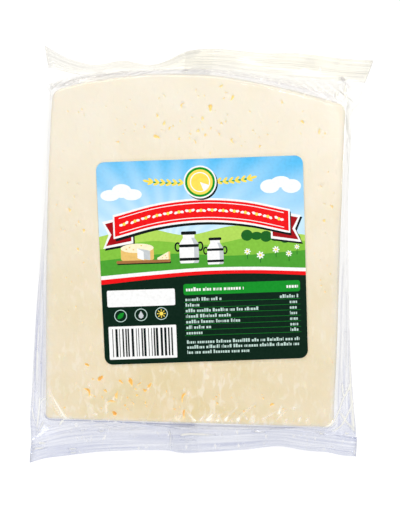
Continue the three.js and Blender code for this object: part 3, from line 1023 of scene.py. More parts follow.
def makeFilmMaterial():
    look = filmLook
    material, tree, shader = newMaterial("clear film")
    weld, crease, loose, edge, shadeLine = readPoints(tree, "weld", "crease", "loose", "edge", "shadeLine")
    crownward, endward = readPoints(tree, "crownward", "endward")
    widthwise, lengthwise = readPoints(tree, "widthwise", "lengthwise")

    def stretched(name):
        across, along, roughness, contrast, offset = look[name]
        x, y = mathNode(tree, "MULTIPLY", widthwise, across), mathNode(tree, "MULTIPLY", lengthwise, along)
        place = makeNode(tree, "CombineXYZ", {"X": x, "Y": y}).outputs["Vector"]
        return scaled(tree, noiseNode(tree, place, 1.0, 2.0, roughness), contrast, offset, True)

    def sideToEnd(side, end):
        return scaled(tree, endward, mathNode(tree, "SUBTRACT", end, side), side)

    # painted reflections along lines, across the seals and along the sides, and painted sheen in smears
    reflectionLines, sheenSmear = sideToEnd(stretched("sideReflections"), stretched("ribReflections")), stretched("sheenSmears")
    haze = placeGroup(tree, mottling, look["haze"])["Mask"]
    grazing = makeNode(tree, "LayerWeight", {"Blend": look["grazing"]}).outputs["Facing"]
    # painted light: bluish at the cut end and creamy at the crown, as the light falls on it
    cool = mixColour(tree, reflectionLines, mixColour(tree, endward, *look["cool"]), look["coolReflections"])
    warm = mixColour(tree, reflectionLines, mixColour(tree, endward, *look["warm"]), look["warmReflections"])
    tint = mixColour(tree, loose, look["clinging"], mixColour(tree, crownward, cool, warm))
    # painted shade along the line where the film leaves the slab and along the blue creases
    tint = mixColour(tree, shadeLine, tint, mixColour(tree, crownward, *look["shadeLine"]))
    # painted highlights of the creases and flicks and painted sheen of the smears
    pale = mathNode(tree, "MAXIMUM", crease, sheenSmear)
    # how much it hides, part by part
    least, hazy = look["plain"]
    body = scaled(tree, haze, hazy, least)
    slope, whole, lowest = look["fade"]
    fading = mathNode(tree, "MAXIMUM", scaled(tree, crownward, slope, whole), lowest)
    body = scaled(tree, grazing, mathNode(tree, "MULTIPLY", fading, look["grazingCover"]), body)
    body = scaled(tree, mathNode(tree, "MULTIPLY", sheenSmear, fading), look["sheenSmearCover"], body)
    sideCover = mathNode(tree, "MULTIPLY", scaled(tree, reflectionLines, *look["sideCover"]), fading)
    body = scaled(tree, loose, sideToEnd(sideCover, scaled(tree, reflectionLines, *look["endCover"])), body)
    body = scaled(tree, shadeLine, look["shadeLineCover"], body)
    edged = mathNode(tree, "MULTIPLY", fading, scaled(tree, weld, *look["edgeCover"]))
    body = scaled(tree, edge, edged, body)
    body = scaled(tree, crease, look["creaseCover"], body, True)
    shadow = makeNode(tree, "LightPath", {}).outputs["Is Shadow Ray"]
    feed(tree, shader, {
        "Base Color": mixColour(tree, pale, tint, look["crease"]),
        "Metallic": scaled(tree, pale, *look["silver"], True),
        "Roughness": scaled(tree, haze, *look["roughness"]),
        "Specular IOR Level": look["shine"],
        "Alpha": mathNode(tree, "MULTIPLY", body, scaled(tree, shadow, look["shadowLess"], 1.0)),
    })
    return material


def shapeFilm():
    # the whole tube as one grid of points, from one seal's outer edge to the other's
    n, m = film["columns"], film["rows"]
    settled = settleFilm()
    first, last = film["fineRows"]
    rowPlaces = np.r_[
        np.arange(0, first, film["fineStep"]),
        np.arange(first, m - last, 1.0),
        np.arange(m - last, m + 0.01, film["fineStep"]),
    ]
    columnPlaces = np.r_[np.arange(0, n, film["topStep"]), np.arange(n, 2 * n, film["underStep"])]
    fine = resample(settled, np.minimum(rowPlaces, m), 0, False)
    fine = resample(fine, columnPlaces, 1, True)
    inside = fine[1:-1]
    pushOut(inside, film["gap"] - 0.02)
    inside[..., 2] = np.maximum(inside[..., 2], 0.2)
    seals = [
        sealRows(fine[0], columnPlaces, "bottomEdge", "bottomEdgeHeight"),
        sealRows(fine[-1], columnPlaces, "topEdge", "topEdgeHeight")[::-1],
    ]
    fine[[0, -1], :, 2] += film["half"] * layerSign(columnPlaces)
    grid = np.concatenate([seals[0], fine, seals[1]])
    weld = np.zeros(grid.shape[:2])
    weld[:len(seals[0]) + 1] = 1
    weld[-len(seals[1]) - 1:] = 1
    return grid, weld, columnPlaces


# How the film's look changes over the pack. Each pair says where a change starts and how far it takes, in mm
drape = {
    "low": (60, 3),  # towards the cut end
    "top": (60, 8),  # towards the crown
    "crowded": (5, 25),  # towards the crown's left end, where several layers lie on each other
    "off": (0.35, 1.5),  # off the slab
    "past": (0, 2.5),  # past the slab's two ends
    "beside": (-3, 4),  # past its long sides
    # how much less the film shows at the crown, and how much less again where it is crowded
    "lessOnWeld": (0.0, 0.1),
    "lessOffSlab": (0.45, 0.3),
    "lessAtSeal": (0.15, 0.35),
    "sealReach": 1.2,
    # the painted shade line where the film leaves the slab: everywhere, more at the cut end, more at the
    # crown
    "lineAt": (0.3, 0.2, 1.0),
    "lineWidth": (0.5, 0.1, 1.5),
    "lineStrength": (0.45, 0.75, 0.65),
    "lineElsewhere": 0.1,  # in place of the first strength, along the right side and towards the crown
    "elsewhere": (-25, 60),
    "faintSides": (0.7, -7, 7),  # how much fainter at the crown, then where
    "faintLeft": (0.45, 12, 25),
    "endwardSides": 0.6,  # how much of the cut end's look its corners keep
    "foldReach": 0.6,
    "cutReach": 0.4,
    "cutShare": 0.5,
}


# how far towards the crown, which sets the painted light of the film
def towardsCrown(x, y):
    return np.clip((y + 45) / 118 + 0.0027 * x, 0, 1)


def measureFilm(flat, weld, upper):
    # how free the film hangs, how dark its painted shade line is, and how far it belongs to an end and to the
    # crown
    x, y = flat[:, 0], flat[:, 1]
    distance, beyond, _ = slabDistance(flat)
    aside = np.maximum(leftAt(y) - x, x - rightAt(y))
    low, top, crowded = rampIn(-y, *drape["low"]), rampIn(y, *drape["top"]), rampIn(-x, *drape["crowded"])

    def less(name):
        return drape[name][0] + drape[name][1] * crowded

    def byEnd(name):
        everywhere, lower, higher = drape[name]
        return everywhere + lower * low + higher * top

    def faint(name, away):
        return drape[name][0] * rampIn(away, *drape[name][1:])

    atSeal = np.exp(-((y - outline("topSealLine", x)) / drape["sealReach"]) ** 2)
    loose = rampIn(distance, *drape["off"])
    loose *= 1 - top * np.where(weld > 0, less("lessOnWeld"), less("lessOffSlab"))
    loose *= 1 - less("lessAtSeal") * top * atSeal
    strength, lower, higher = drape["lineStrength"]
    strength = mix(strength, drape["lineElsewhere"], np.maximum(rampIn(y, *drape["elsewhere"]), x > 0))
    shadeLine = np.exp(-((beyond - byEnd("lineAt")) / byEnd("lineWidth")) ** 2)
    shadeLine *= strength + lower * low + higher * top
    shadeLine *= 1 - top * np.maximum(faint("faintSides", aside), faint("faintLeft", -x))
    past = np.maximum(cheese["bottom"] + 1.2 - y, y - crownAt(x) - 1.0)
    corners = (1 - drape["endwardSides"] * low) * rampIn(aside, *drape["beside"])
    return {
        "loose": loose,
        "shadeLine": shadeLine * upper * (weld == 0),
        "endward": np.maximum(weld, rampIn(past, *drape["past"]) * (1 - corners)),
        "crownward": towardsCrown(x, y),
    }


def makeFilm(grid, weld, columnPlaces):
    rows, size = grid.shape[:2]
    upper = columnPlaces < film["columns"]
    above = np.broadcast_to(upper, (rows, size)).ravel()
    weld = weld.ravel()
    flat = grid.reshape(-1, 3).copy()
    # creases are pressed into the upper layer and into both layers of the seals
    lifted = above | (weld > 0)
    raised = flat[lifted]
    white, shade = np.zeros(rows * size), np.zeros(rows * size)
    white[lifted], shade[lifted] = pressCreases(raised, sum(creases.values(), []), creaseTaper)
    white[lifted] = np.maximum(white[lifted], pressCreases(raised, gatherStrokes(), edgeStrokes["taper"])[0])
    flat[lifted] = raised
    faces = ringFaces([i * size for i in range(rows)], size)
    half = int(upper.sum())
    for row, turned in ((0, True), (rows - 1, False)):
        faces += closeEnd(columnPlaces, half, row * size, turned)
    # the film's own measures, along and across, and how near it is to a fold or a cut edge
    width = film["width"]
    lengthwise = np.repeat(travelled(grid[:, size // 3])[:, None], size, 1)
    widthwise = np.broadcast_to(columnPlaces * width / film["columns"], (rows, size))
    fold = np.minimum(widthwise % width, width - widthwise % width)
    cut = np.minimum(lengthwise, lengthwise.max() - lengthwise)
    folded, trimmed = np.exp(-(fold / drape["foldReach"]) ** 2), np.exp(-(cut / drape["cutReach"]) ** 2)
    piece = newPiece("film", flat, faces, [makeFilmMaterial()])
    measures = measureFilm(flat, weld, above)
    # the painted shade line and the blue creases' painted shade
    measures["shadeLine"] = np.maximum(measures["shadeLine"], shade)
    edge = np.maximum(folded, drape["cutShare"] * trimmed)
    measures.update(weld=weld, crease=white, edge=edge, lengthwise=lengthwise, widthwise=widthwise)
    paintPoints(piece, measures)
    print("film:", len(faces), "faces")


# The back seam: a fin of film, welded along its length and laid flat under the pack
backSeam = {
    "from": -9.5, "to": 1.5, "cells": 10, "inner": 0.03, "thickness": 0.12, "ribs": 7, "ribHeight": 0.03,
    "wander": 0.5, "loose": 0.1,
}


def makeBackSeam(grid, columnPlaces):
    n, cells = film["columns"], backSeam["cells"]
    across = np.linspace(backSeam["from"], backSeam["to"], cells + 1) / film["width"]
    places = np.interp((1.5 - across) * n, columnPlaces, np.arange(len(columnPlaces)))
    line = resample(grid, places, 1, True)
    rows = len(line)
    along = travelled(line[:, 0])
    free = np.linspace(1, 0, cells + 1)[None, :] ** 2
    line[..., 0] += free * (backSeam["wander"] * waves(along, along * 0, [60, 26], 71))[:, None]
    share = np.linspace(0, 1, cells + 1)[None, :]
    rib = backSeam["ribHeight"] * np.cos(2 * math.pi * backSeam["ribs"] * share)
    inner, outer = line.copy(), line.copy()
    inner[..., 2] -= backSeam["inner"]
    outer[..., 2] -= backSeam["inner"] + backSeam["thickness"] + rib
    outer[..., 2] = np.maximum(outer[..., 2], 0.02)
    inner[..., 2] = np.maximum(inner[..., 2], outer[..., 2] + 0.04)
    size = cells + 1
    points = np.concatenate([inner.reshape(-1, 3), outer.reshape(-1, 3)])
    faces = []
    for i in range(rows - 1):
        for j in range(cells):
            a = i * size + j
            b = rows * size + a
            faces.append([a, a + 1, a + size + 1, a + size])
            faces.append([b, b + size, b + size + 1, b + 1])
    border = list(range(cells)) + [i * size + cells for i in range(rows - 1)]
    border += [(rows - 1) * size + j for j in range(cells, 0, -1)]
    border += [i * size for i in range(rows - 1, 0, -1)]
    for a, b in zip(border, border[1:] + border[:1]):
        faces.append([b, a, rows * size + a, rows * size + b])
    piece = newPiece("back_seam", points, faces, [bpy.data.materials["clear film"]])
    none, full = np.zeros(len(points)), np.ones(len(points))
    width = backSeam["to"] - backSeam["from"]
    paintPoints(piece, {
        "weld": full, "endward": full, "loose": backSeam["loose"] * full,
        "edge": none, "crease": none, "shadeLine": none,
        "crownward": towardsCrown(0, points[:, 1]),
        "lengthwise": np.tile(np.tile(share[0] * width, rows), 2),
        "widthwise": np.tile(np.repeat(along, size), 2),
    })
    print("back seam:", len(faces), "faces")


def closeEnd(places, half, first, turned):
    # the narrow strip of triangles that joins the two layers at a seal's outer edge
    n, size = film["columns"], len(places)
    top = [(places[j] / n, j) for j in range(half + 1)]
    under = [(0.0, 0)] + [(2 - places[j] / n, j) for j in range(size - 1, half - 1, -1)]
    faces = []
    a = b = 0
    while a < len(top) - 1 or b < len(under) - 1:
        nextTop = top[a + 1][0] if a < len(top) - 1 else 9.0
        nextUnder = under[b + 1][0] if b < len(under) - 1 else 9.0
        corner = [top[a][1], under[b][1]]
        if nextTop <= nextUnder:
            a += 1
            corner.insert(1, top[a][1])
        else:
            b += 1
            corner.insert(1, under[b][1])
        if len(set(corner)) == 3:
            faces.append([first + j for j in (corner[::-1] if turned else corner)])
    return faces


# The label: a square sticker, its print laid into one face as fields of ink
label = {
    "side": 80.0,
    "corner": 3.2,
    "turn": 3.85,
    "centre": (1.5, 2.2),
    "low": 18.42,
    "thickness": 0.2,
    "grid": 2.5,  # between the points that follow the sticker's slight waves
    "wave": 0.05,
}

# Inks: colour, roughness
inks = {
    "sky": ((0.10, 0.50, 0.86), 0.36),
    "cloud": ((0.90, 0.93, 0.95), 0.36),
    "white": ((0.90, 0.90, 0.89), 0.36),
    "far hill": ((0.42, 0.66, 0.10), 0.36),
    "near hill": ((0.22, 0.52, 0.05), 0.36),
    "meadow": ((0.07, 0.34, 0.03), 0.36),
    "hedge": ((0.010, 0.12, 0.015), 0.36),
    "red": ((0.84, 0.006, 0.008), 0.34),
    "deep red": ((0.36, 0.003, 0.006), 0.34),
    "gold": ((0.95, 0.72, 0.10), 0.34),
    "night": ((0.004, 0.008, 0.008), 0.38),
    "wood": ((0.36, 0.16, 0.05), 0.38),
    "rind": ((0.80, 0.52, 0.16), 0.38),
    "curd": ((0.93, 0.84, 0.58), 0.36),
    "shade": ((0.55, 0.58, 0.60), 0.36),
    "bottle green": ((0.001, 0.016, 0.007), 0.40),
    "leaf green": ((0.006, 0.27, 0.02), 0.36),
    "small print": ((0.50, 0.66, 0.60), 0.38),
}


def box(x0, y0, x1, y1, corner=0.0):
    if corner <= 0:
        return [(x0, y0), (x1, y0), (x1, y1), (x0, y1)]
    points = []
    for cx, cy, first in ((x1 - corner, y0 + corner, -90), (x1 - corner, y1 - corner, 0),
                          (x0 + corner, y1 - corner, 90), (x0 + corner, y0 + corner, 180)):
        for k in range(7):
            angle = math.radians(first + 15 * k)
            points.append((cx + corner * math.cos(angle), cy + corner * math.sin(angle)))
    return points


def oval(cx, cy, rx, ry, sides=32, first=0.0, last=360.0):
    turn = np.radians(np.linspace(first, last, sides, endpoint=last - first < 360))
    return [(cx + rx * math.cos(a), cy + ry * math.sin(a)) for a in turn]


def band(upper, lower, x0=-40.0, x1=40.0, steps=40):
    # the field between two curves, each given by (x, y) knots
    xs = np.linspace(x0, x1, steps)
    top = [(x, float(curveThrough(upper, x))) for x in xs]
    low = [(x, float(curveThrough(lower, x))) for x in xs]
    return low + top[::-1]


def moved(points, dx, dy, grow=1.0, turn=0.0):
    c, s = math.cos(math.radians(turn)) * grow, math.sin(math.radians(turn)) * grow
    return [(dx + x * c - y * s, dy + x * s + y * c) for x, y in points]


def wordRow(ink, x0, x1, y, height, seed, share=1.0):
    # a row of small print: short blocks grouped like words
    draw = np.random.default_rng(seed)
    shapes = []
    x = x0
    end = x0 + (x1 - x0) * share
    while x < end:
        for _ in range(draw.integers(3, 9)):
            wide = height * draw.choice([0.18, 0.42, 0.5, 0.58])
            tall = height * draw.choice([0.68, 0.68, 0.68, 1.0])
            if x + wide > end:
                return shapes
            shapes.append((ink, box(x, y, x + wide, y + tall)))
            x += wide + height * 0.2
        x += height * 0.38
    return shapes


def printHills():
    crests = {
        "far hill": [(-40, 11), (-24, 14), (-6, 10.5), (14, 13.5), (40, 9)],
        "near hill": [(-40, 6), (-20, 8.6), (2, 6.4), (24, 9.4), (40, 6.5)],
        "meadow": [(-40, 1.5), (-14, 3.4), (12, 1.8), (40, 3)],
    }
    clouds = [(-35, 27), (-30.5, 28.6), (-26.5, 27), (27, 28.4), (31.2, 30), (35.2, 28.2)]
    shapes = [(ink, band(crest, [(-40, -9), (40, -9)])) for ink, crest in crests.items()]
    for k in range(6):  # a row of round bushes on the hill
        shapes.append(("hedge", oval(17.5 + 3.7 * k, 9.6 - 0.35 * k, 2.3, 1.9 + 0.3 * math.cos(3 * k), 18)))
    shapes += [("cloud", oval(x, y, 3.8, 2.2 + 0.5 * (k % 2), 20)) for k, (x, y) in enumerate(clouds)]
    return shapes


def printChurn(cx, low, grow):
    # a white milk churn with dark bands and two round handles
    body = [(-3.4, 0), (3.4, 0), (3.7, 0.8), (3.7, 7.4), (2.2, 9.8), (2.2, 11.4), (-2.2, 11.4), (-2.2, 9.8),
            (-3.7, 7.4), (-3.7, 0.8)]
    side = [(1.4, 0), (3.4, 0), (3.7, 0.8), (3.7, 7.4), (2.2, 9.8), (1, 9.8), (1.9, 7.4), (1.9, 0.8)]
    shapes = [("night", oval(s * 4.3, 6.4, 1.25, 1.9, 16)) for s in (-1, 1)]
    shapes += [("near hill", oval(s * 4.3, 6.4, 0.65, 1.2, 16)) for s in (-1, 1)]
    shapes += [("white", body), ("shade", side)]
    shapes += [("night", box(-3.7, y0, 3.7, y0 + 1.1)) for y0 in (1, 6.2)]
    shapes.append(("night", box(-2.9, 11, 2.9, 12.3, 0.5)))
    return [(ink, moved(points, cx, low, grow)) for ink, points in shapes]


def printWheel(cx, low, grow):
    # a wheel of cheese on a board, with a wedge cut out and laid beside it
    shapes = [("night", box(-9.7, -1.7, 13.2, -0.6, 0.5)), ("wood", box(-10, -1.2, 13, 0, 0.5))]
    shapes.append(("rind", box(-8, 0, 6, 5.2, 1)))
    shapes.append(("curd", oval(-1, 5.2, 7, 2, 28)))
    shapes.append(("shade", [(-1, 5.2), (-1, 0.9), (4.4, 0), (4.4, 4)]))
    shapes.append(("white", [(-1, 5.2), (-1, 0.9), (1.7, 0), (1.7, 3.6)]))
    wheelHoles = ((-4.2, 5.6), (-2.6, 4.6), (-5.6, 4.9), (0.8, 6.3))
    shapes += [("rind", oval(x, y, 0.35, 0.28, 10)) for x, y in wheelHoles]
    shapes.append(("curd", [(7.4, 0), (12.2, 0), (12.2, 3.4), (7.4, 0.8)]))
    shapes.append(("rind", [(12.2, 0), (12.9, 0), (12.9, 3.3), (12.2, 3.4)]))
    shapes += [("rind", oval(x, y, 0.3, 0.24, 10)) for x, y in ((9.6, 0.8), (10.9, 1.7), (11.3, 0.7))]
    return [(ink, moved(points, cx, low, grow)) for ink, points in shapes]


def printDaisies():
    shapes = []
    spots = ((17.5, 3.2, 1.25), (22.5, 1.6, 1.5), (28.6, 3.6, 1.35), (33.6, 1.9, 1.2), (36.8, 4.4, 1))
    for x, y, size in spots:
        petal = oval(0.62 * size, 0, 0.45 * size, 0.22 * size, 10)
        shapes.append(("hedge", box(x - 0.13, y - 3, x + 0.13, y)))
        shapes += [("white", moved(petal, x, y, 1, 360 / 7 * k)) for k in range(7)]
        shapes.append(("gold", oval(x, y, 0.32 * size, 0.32 * size, 12)))
    return shapes


def printRibbon():
    # an arched red ribbon with folded tails, a white edge, a dark shadow and a row of plain leaf scrolls
    arch = [(-34, 14.6), (-17, 18.6), (0, 20), (17, 18.6), (34, 14.6)]
    tail = [(37.5, 15.9), (27.5, 18.2), (27.5, 8.9), (37.5, 7.2), (35.2, 11.6)]
    edge = [(38.6, 16.8), (26.8, 19.2), (26.8, 8), (38.6, 6.2), (36.3, 11.5)]
    leaf = [(0, 0), (0.7, 0.55), (1.6, 0.7), (2, 0.2), (1.4, -0.35), (0.6, -0.3)]
    shadow = (0.6, -0.8)

    def strip(above, below, reach=34, dx=0, dy=0):
        upper = [(x + dx, y + above + dy) for x, y in arch]
        lower = [(x + dx, y - below + dy) for x, y in arch]
        return band(upper, lower, -reach + dx, reach + dx)

    shapes = []
    for side in (-1, 1):
        shapes.append(("night", [(side * x + shadow[0], y + shadow[1]) for x, y in edge]))
        shapes.append(("white", [(side * x, y) for x, y in edge]))
        shapes.append(("deep red", [(side * x, y) for x, y in tail]))
    shapes += [("night", strip(4.4, 4.9, 34.2, *shadow)), ("white", strip(4.7, 4.7, 34.4))]
    shapes += [("red", strip(3.9, 3.9, 33.8)), ("white", strip(3, -2.7, 32)), ("white", strip(-2.7, 3, 32))]
    for k in range(-7, 8):
        x = 4.3 * k
        y = float(curveThrough(arch, x))
        lean, up = -math.degrees(math.atan(x / 72)), 1 if k % 2 else -1
        for side in (-1, 1):
            shapes.append(("white", moved([(side * a, up * b) for a, b in leaf], x, y, 1, lean)))
        shapes.append(("gold", oval(x, y, 0.62, 0.62, 12)))
    return shapes


def earOfWheat(cx, cy, reach, side):
    # a wheat ear lying along a shallow curve, with pairs of grains and a stem
    outward = 90 - side * 90

    def bow(s):
        return cx + side * reach * s, cy - 2.6 * math.sin(math.pi * 0.5 * s) + 3.4 * s

    stem = [bow(s) for s in np.linspace(0, 1, 14)]
    shapes = [("leaf green", [(x, y - 0.28) for x, y in stem] + [(x, y + 0.28) for x, y in stem[::-1]])]
    grain, tip = oval(1, 0, 1.25, 0.5, 12), oval(1.2, 0, 1.5, 0.5, 12)
    for k in range(7):
        for up in (-1, 1):
            turn = outward + side * up * 34 + side * 12
            shapes.append(("gold", moved(grain, *bow(0.22 + 0.12 * k), 1, turn)))
    shapes.append(("gold", moved(tip, *bow(1), 1, outward + side * 14)))
    return shapes


def printWreath():
    # a plain round medal, gold in a green and white ring, between two ears of wheat
    cx, cy = 0, 31.0
    shapes = earOfWheat(cx, cy, 19.5, -1) + earOfWheat(cx, cy, 19.5, 1)
    shapes.append(("night", oval(cx + 0.5, cy - 0.6, 6.4, 6.4, 48)))
    for ink, size in (("white", 6.4), ("leaf green", 5.8), ("gold", 4.9), ("white", 3.9), ("gold", 3.5)):
        shapes.append((ink, oval(cx, cy, size, size, 48)))
    shapes.append(("white", [(cx, cy)] + oval(cx, cy, 3.5, 3.5, 8, -70, -20)))
    return shapes


def printArc():
    # the dark lower part under an arched white and red edge
    crests = {
        "white": [(-40, -4.6), (-20, -3.4), (0, -2.6), (20, -2.9), (40, -4)],
        "red": [(-40, -6.1), (-20, -4.8), (0, -3.9), (20, -4.2), (40, -5.4)],
        "bottle green": [(-40, -8), (-20, -6.4), (0, -5.3), (20, -5.5), (40, -6.9)],
    }
    return [(ink, band(crest, [(-40, -41), (40, -41)])) for ink, crest in crests.items()]


def printFacts():
    # the table of facts: a green heading, seven ruled rows and three rows of small print
    shapes = [("leaf green", box(-8, -13.2, 37.6, -8.8, 0.9))]
    shapes += wordRow("white", -7, 16, -11.7, 1.5, 70)
    shapes += wordRow("white", 32.3, 37, -11.7, 1.5, 71)
    lengths = (0.40, 0.16, 0.82, 0.50, 0.62, 0.28, 0.20)
    for k, length in enumerate(lengths):
        y = -15.6 - 2.22 * k
        shapes += wordRow("small print", -7.4, 28, y, 1.35, 72 + k, length)
        shapes += wordRow("small print", 33.4 if k else 29.6, 37, y, 1.35, 82 + k)
        shapes.append(("leaf green", box(-8, y - 0.52, 37.6, y - 0.40)))
    for k in range(3):
        shapes += wordRow("small print", -7.4, 37.2, -32.6 - 2.05 * k, 1.35, 92 + k, 1.0 if k < 2 else 0.55)
    return shapes


def printButtons():
    # three round buttons: a leaf, a drop and a sun
    shapes = []
    for k, x in enumerate((-33, -25, -17)):
        y = -20.6 + 0.2 * k
        shapes += [("small print", oval(x, y, 2.5, 2.5, 32)), ("bottle green", oval(x, y, 2.2, 2.2, 32))]
    leaf = [(-1.3, -1.2), (-0.2, -1.1), (0.9, -0.4), (1.4, 1.3), (-0.2, 1), (-1.1, 0.1)]
    drop = [(0, 1.6), (-0.5, 0.6), (-1, -0.2), (-0.8, -1.1), (0, -1.5), (0.8, -1.1), (1, -0.2), (0.5, 0.6)]
    shapes.append(("leaf green", moved(leaf, -33, -20.6)))
    shapes.append(("shade", moved(drop, -25, -20.4)))
    shapes.append(("gold", oval(-17, -20.2, 0.8, 0.8, 16)))
    for k in range(8):
        shapes.append(("gold", moved(box(1.05, -0.16, 1.7, 0.16), -17, -20.2, 1, 45 * k)))
    return shapes


def printBoxes():
    # a white box left blank above, and one of plain stripes below
    blank, striped = box(-38, -17, -11.4, -10.4, 0.6), box(-38, -38, -11.4, -24.8, 0.4)
    shapes = [("white", blank), ("white", striped)]
    draw = np.random.default_rng(101)
    x = -36.6
    while x < -13.4:
        wide = 0.3 * draw.integers(1, 4)
        shapes.append(("night", box(x, -37, x + wide, -25.8)))
        x += wide + 0.3 * draw.integers(1, 4)
    return shapes


# The sky above the hills: places in metres from the pack's middle
sky = {
    "palest": 0.012,  # as high as this, and then bluer over the next stretch
    "stretch": 0.030,
    "haze": 0.75,
    "beamsFrom": (-0.012, 0.004),
    "beams": 26.0,  # in a full turn
    "beamShare": 0.16,
    "pale": (0.72, 0.87, 0.95),
}


# What all inks share
inkLook = {
    "grain": {"Scale": 900.0, "Fineness": 2.0, "Contrast": 1.6},
    "patches": {"Scale": 60.0, "Fineness": 2.0, "Contrast": 1.4},
    "darker": 0.9,
    "lighter": 1.06,
    "lifted": 0.004,  # so that black isn't quite black
    "unevenGloss": 0.08,
    "shine": 0.04,
    "bump": (0.08, 0.0001),  # strength and height, in metres
}


def makeInk(name, colour, roughness):
    look = inkLook
    material, tree, shader = newMaterial(name + " ink")
    grain = placeGroup(tree, mottling, look["grain"])
    patches = placeGroup(tree, mottling, look["patches"])["Mask"]
    darker = tuple(c * look["darker"] for c in colour)
    lighter = tuple(min(c * look["lighter"] + look["lifted"], 1) for c in colour)
    ink = mixColour(tree, grain["Mask"], darker, lighter)
    if name == "sky":
        # paler towards the hills, with faint beams from behind them
        _, split = objectPlace(tree)
        height = scaled(tree, split["Y"], 1 / sky["stretch"], -sky["palest"] / sky["stretch"], True)
        across, upward = (mathNode(tree, "SUBTRACT", split[i], sky["beamsFrom"][i]) for i in (0, 1))
        turn = mathNode(tree, "MULTIPLY", mathNode(tree, "ARCTAN2", upward, across), sky["beams"])
        beams = scaled(tree, mathNode(tree, "SINE", turn), 0.5, 0.5)
        haze = mathNode(tree, "MULTIPLY", mathNode(tree, "SUBTRACT", 1.0, height), sky["haze"])
        ink = mixColour(tree, scaled(tree, beams, sky["beamShare"], haze, True), ink, sky["pale"])
    feed(tree, shader, {
        "Base Color": ink,
        "Roughness": scaled(tree, patches, look["unevenGloss"], roughness - look["unevenGloss"] / 2),
        "Specular IOR Level": look["shine"],
        "Normal": bumpNode(tree, grain["Height"], *look["bump"]),
    })
    return material


def counterClockwise(shape):
    x, y = np.array(shape).T
    area = np.sum(x * np.roll(y, -1) - y * np.roll(x, -1))
    return shape if area > 0 else shape[::-1]


def printAll():
    # every field of ink, the lowest first
    half = label["side"] / 2
    return [
        ("sky", box(-half, -half, half, half, label["corner"])),
        *printHills(), *printRibbon(), *printWreath(),
        *printChurn(-5.2, -0.6, 1.02), *printChurn(5.0, -1.4, 0.86), *printWheel(-24.5, 1.2, 0.92),
        *printDaisies(), *printArc(), *printFacts(), *printButtons(), *printBoxes(),
    ]


def makeLabel():
    half = label["side"] / 2
    shapes = printAll()
    # every field but the lowest stops just inside the sticker's own edge
    edge = half - 1e-4
    points, loops = [], []
    for ink, shape in shapes:
        shape = counterClockwise(shape)
        loops.append(list(range(len(points), len(points) + len(shape))))
        if ink != "sky":
            shape = [tuple(min(max(c, -edge), edge) for c in point) for point in shape]
        points += shape
    spots = np.arange(-half + label["grid"], half, label["grid"])
    points += [(x, y) for x in spots for y in spots if math.hypot(x, y) < half * 1.25]
    flat, _, faces, _, _, owners = delaunay_2d_cdt([Vector(p) for p in points], [], loops, 1, 1e-5, True)
    kept = [(face, max(owner)) for face, owner in zip(faces, owners) if 0 in owner]
    flat = np.array([tuple(p) for p in flat])
    used = sorted({i for face, _ in kept for i in face})
    place = {old: new for new, old in enumerate(used)}
    flat = flat[used]
    kept = [([place[i] for i in face], owner) for face, owner in kept]
    names = list(inks)
    slots = [names.index(shapes[owner][0]) for _, owner in kept]
    faces = [face for face, _ in kept]
    # the rim: edges that only one face has
    sides = {}
    for face in faces:
        for a, b in zip(face, face[1:] + face[:1]):
            sides[(a, b)] = True
    rim = [(a, b) for a, b in sides if (b, a) not in sides]
    turn = math.radians(label["turn"])
    x = label["centre"][0] + flat[:, 0] * math.cos(turn) - flat[:, 1] * math.sin(turn)
    y = label["centre"][1] + flat[:, 0] * math.sin(turn) + flat[:, 1] * math.cos(turn)
    z = label["low"] + label["thickness"] + label["wave"] * (1 + waves(x, y, [43, 24], 51))
    count = len(flat)
    top = np.column_stack([x, y, z])
    under = np.column_stack([x, y, z - label["thickness"]])
    back = names.index("white")
    every = faces + [[count + i for i in reversed(face)] for face in faces]
    slots += [back] * len(faces)
    for a, b in rim:
        every.append([b, a, count + a, count + b])
        slots.append(back)
    materials = [makeInk(name, *inks[name]) for name in names]
    points = np.concatenate([top, under])
    piece = newPiece("printed_label", points, every, materials, False, "label")
    piece.data.polygons.foreach_set("material_index", slots)
    print("label:", len(shapes), "fields of ink,", len(every), "faces")


def labelMask(x, y, margin):
    turn = math.radians(label["turn"])
    dx, dy = x - label["centre"][0], y - label["centre"][1]
    u = dx * math.cos(turn) + dy * math.sin(turn)
    v = dy * math.cos(turn) - dx * math.sin(turn)
    return np.maximum(np.abs(u), np.abs(v)) < label["side"] / 2 + margin


makeCheese()
filmGrid, filmWeld, filmPlaces = shapeFilm()
makeFilm(filmGrid, filmWeld, filmPlaces)
makeBackSeam(filmGrid, filmPlaces)
makeLabel()

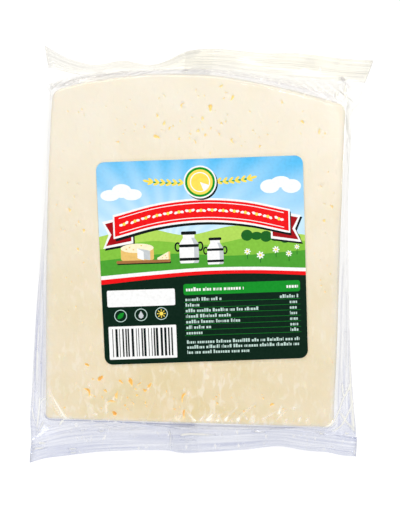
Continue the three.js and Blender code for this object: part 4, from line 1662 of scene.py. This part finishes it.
# Studio: a plain pale floor, soft lights and the camera
studio = {
    "floorReach": 3.0,  # metres to each side
    "floor": (0.45, 0.45, 0.455),
    "floorGlow": 0.6,
    "world": (0.80, 0.83, 0.90),
    "worldStrength": 0.5,
    "lights": {
        "window": {"at": (-0.1, 0.75, 0.55), "size": 0.7, "power": 4.65, "colour": (1.0, 0.955, 0.86)},
        "overhead": {"at": (0.25, 0.1, 0.9), "size": 0.3, "power": 3.2, "colour": (1.0, 0.99, 0.97)},
        "front": {"at": (-0.35, -0.6, 0.42), "size": 0.14, "power": 1.4, "colour": (1.0, 1.0, 1.0)},
    },
}
view = {"distance": 0.6, "target": (0.0003, 0.00335, 0.009), "tilt": 8.5, "roll": -1.8, "lens": 107.12}


def makeStudio():
    world = bpy.data.worlds.new("studio")
    world.use_nodes = True
    tree = world.node_tree
    feed(tree, tree.nodes["Background"], {"Color": studio["world"], "Strength": studio["worldStrength"]})
    bpy.context.scene.world = world
    material, tree, shader = newMaterial("floor")
    feed(tree, shader, {
        "Base Color": studio["floor"],
        "Roughness": 0.9,
        "Emission Color": (1.0, 1.0, 1.0),
        "Emission Strength": studio["floorGlow"],
    })
    mesh = bpy.data.meshes.new("floor")
    corners = ((-1, -1), (1, -1), (1, 1), (-1, 1))
    reach = studio["floorReach"]
    mesh.from_pydata([(x * reach, y * reach, 0) for x, y in corners], [], [(0, 1, 2, 3)])
    mesh.materials.append(material)
    floor = placeObject("floor", mesh)
    for name, lamp in studio["lights"].items():
        light = bpy.data.lights.new(name, "AREA")
        light.energy = lamp["power"]
        light.size = lamp["size"]
        light.color = lamp["colour"]
        holder = placeObject(name, light)
        holder.location = lamp["at"]
        holder.rotation_euler = (-Vector(lamp["at"])).to_track_quat("-Z", "Y").to_euler()


def makeCamera():
    tilt, roll = math.radians(view["tilt"]), math.radians(view["roll"])
    back = Vector((0, math.sin(tilt), math.cos(tilt)))
    up = Vector((0, math.cos(tilt), -math.sin(tilt)))
    right = Vector((1, 0, 0))
    across = math.cos(roll) * right - math.sin(roll) * up
    upward = math.sin(roll) * right + math.cos(roll) * up
    lens = bpy.data.cameras.new("camera")
    lens.lens = view["lens"]
    lens.clip_start = 0.01
    camera = placeObject("camera", lens)
    place = Matrix.Translation(Vector(view["target"]) + back * view["distance"])
    camera.matrix_world = place @ Matrix((across, upward, back)).transposed().to_4x4()
    bpy.context.scene.camera = camera


makeStudio()
makeCamera()
bpy.context.scene.view_settings.view_transform = "Standard"
print("studio and camera placed")
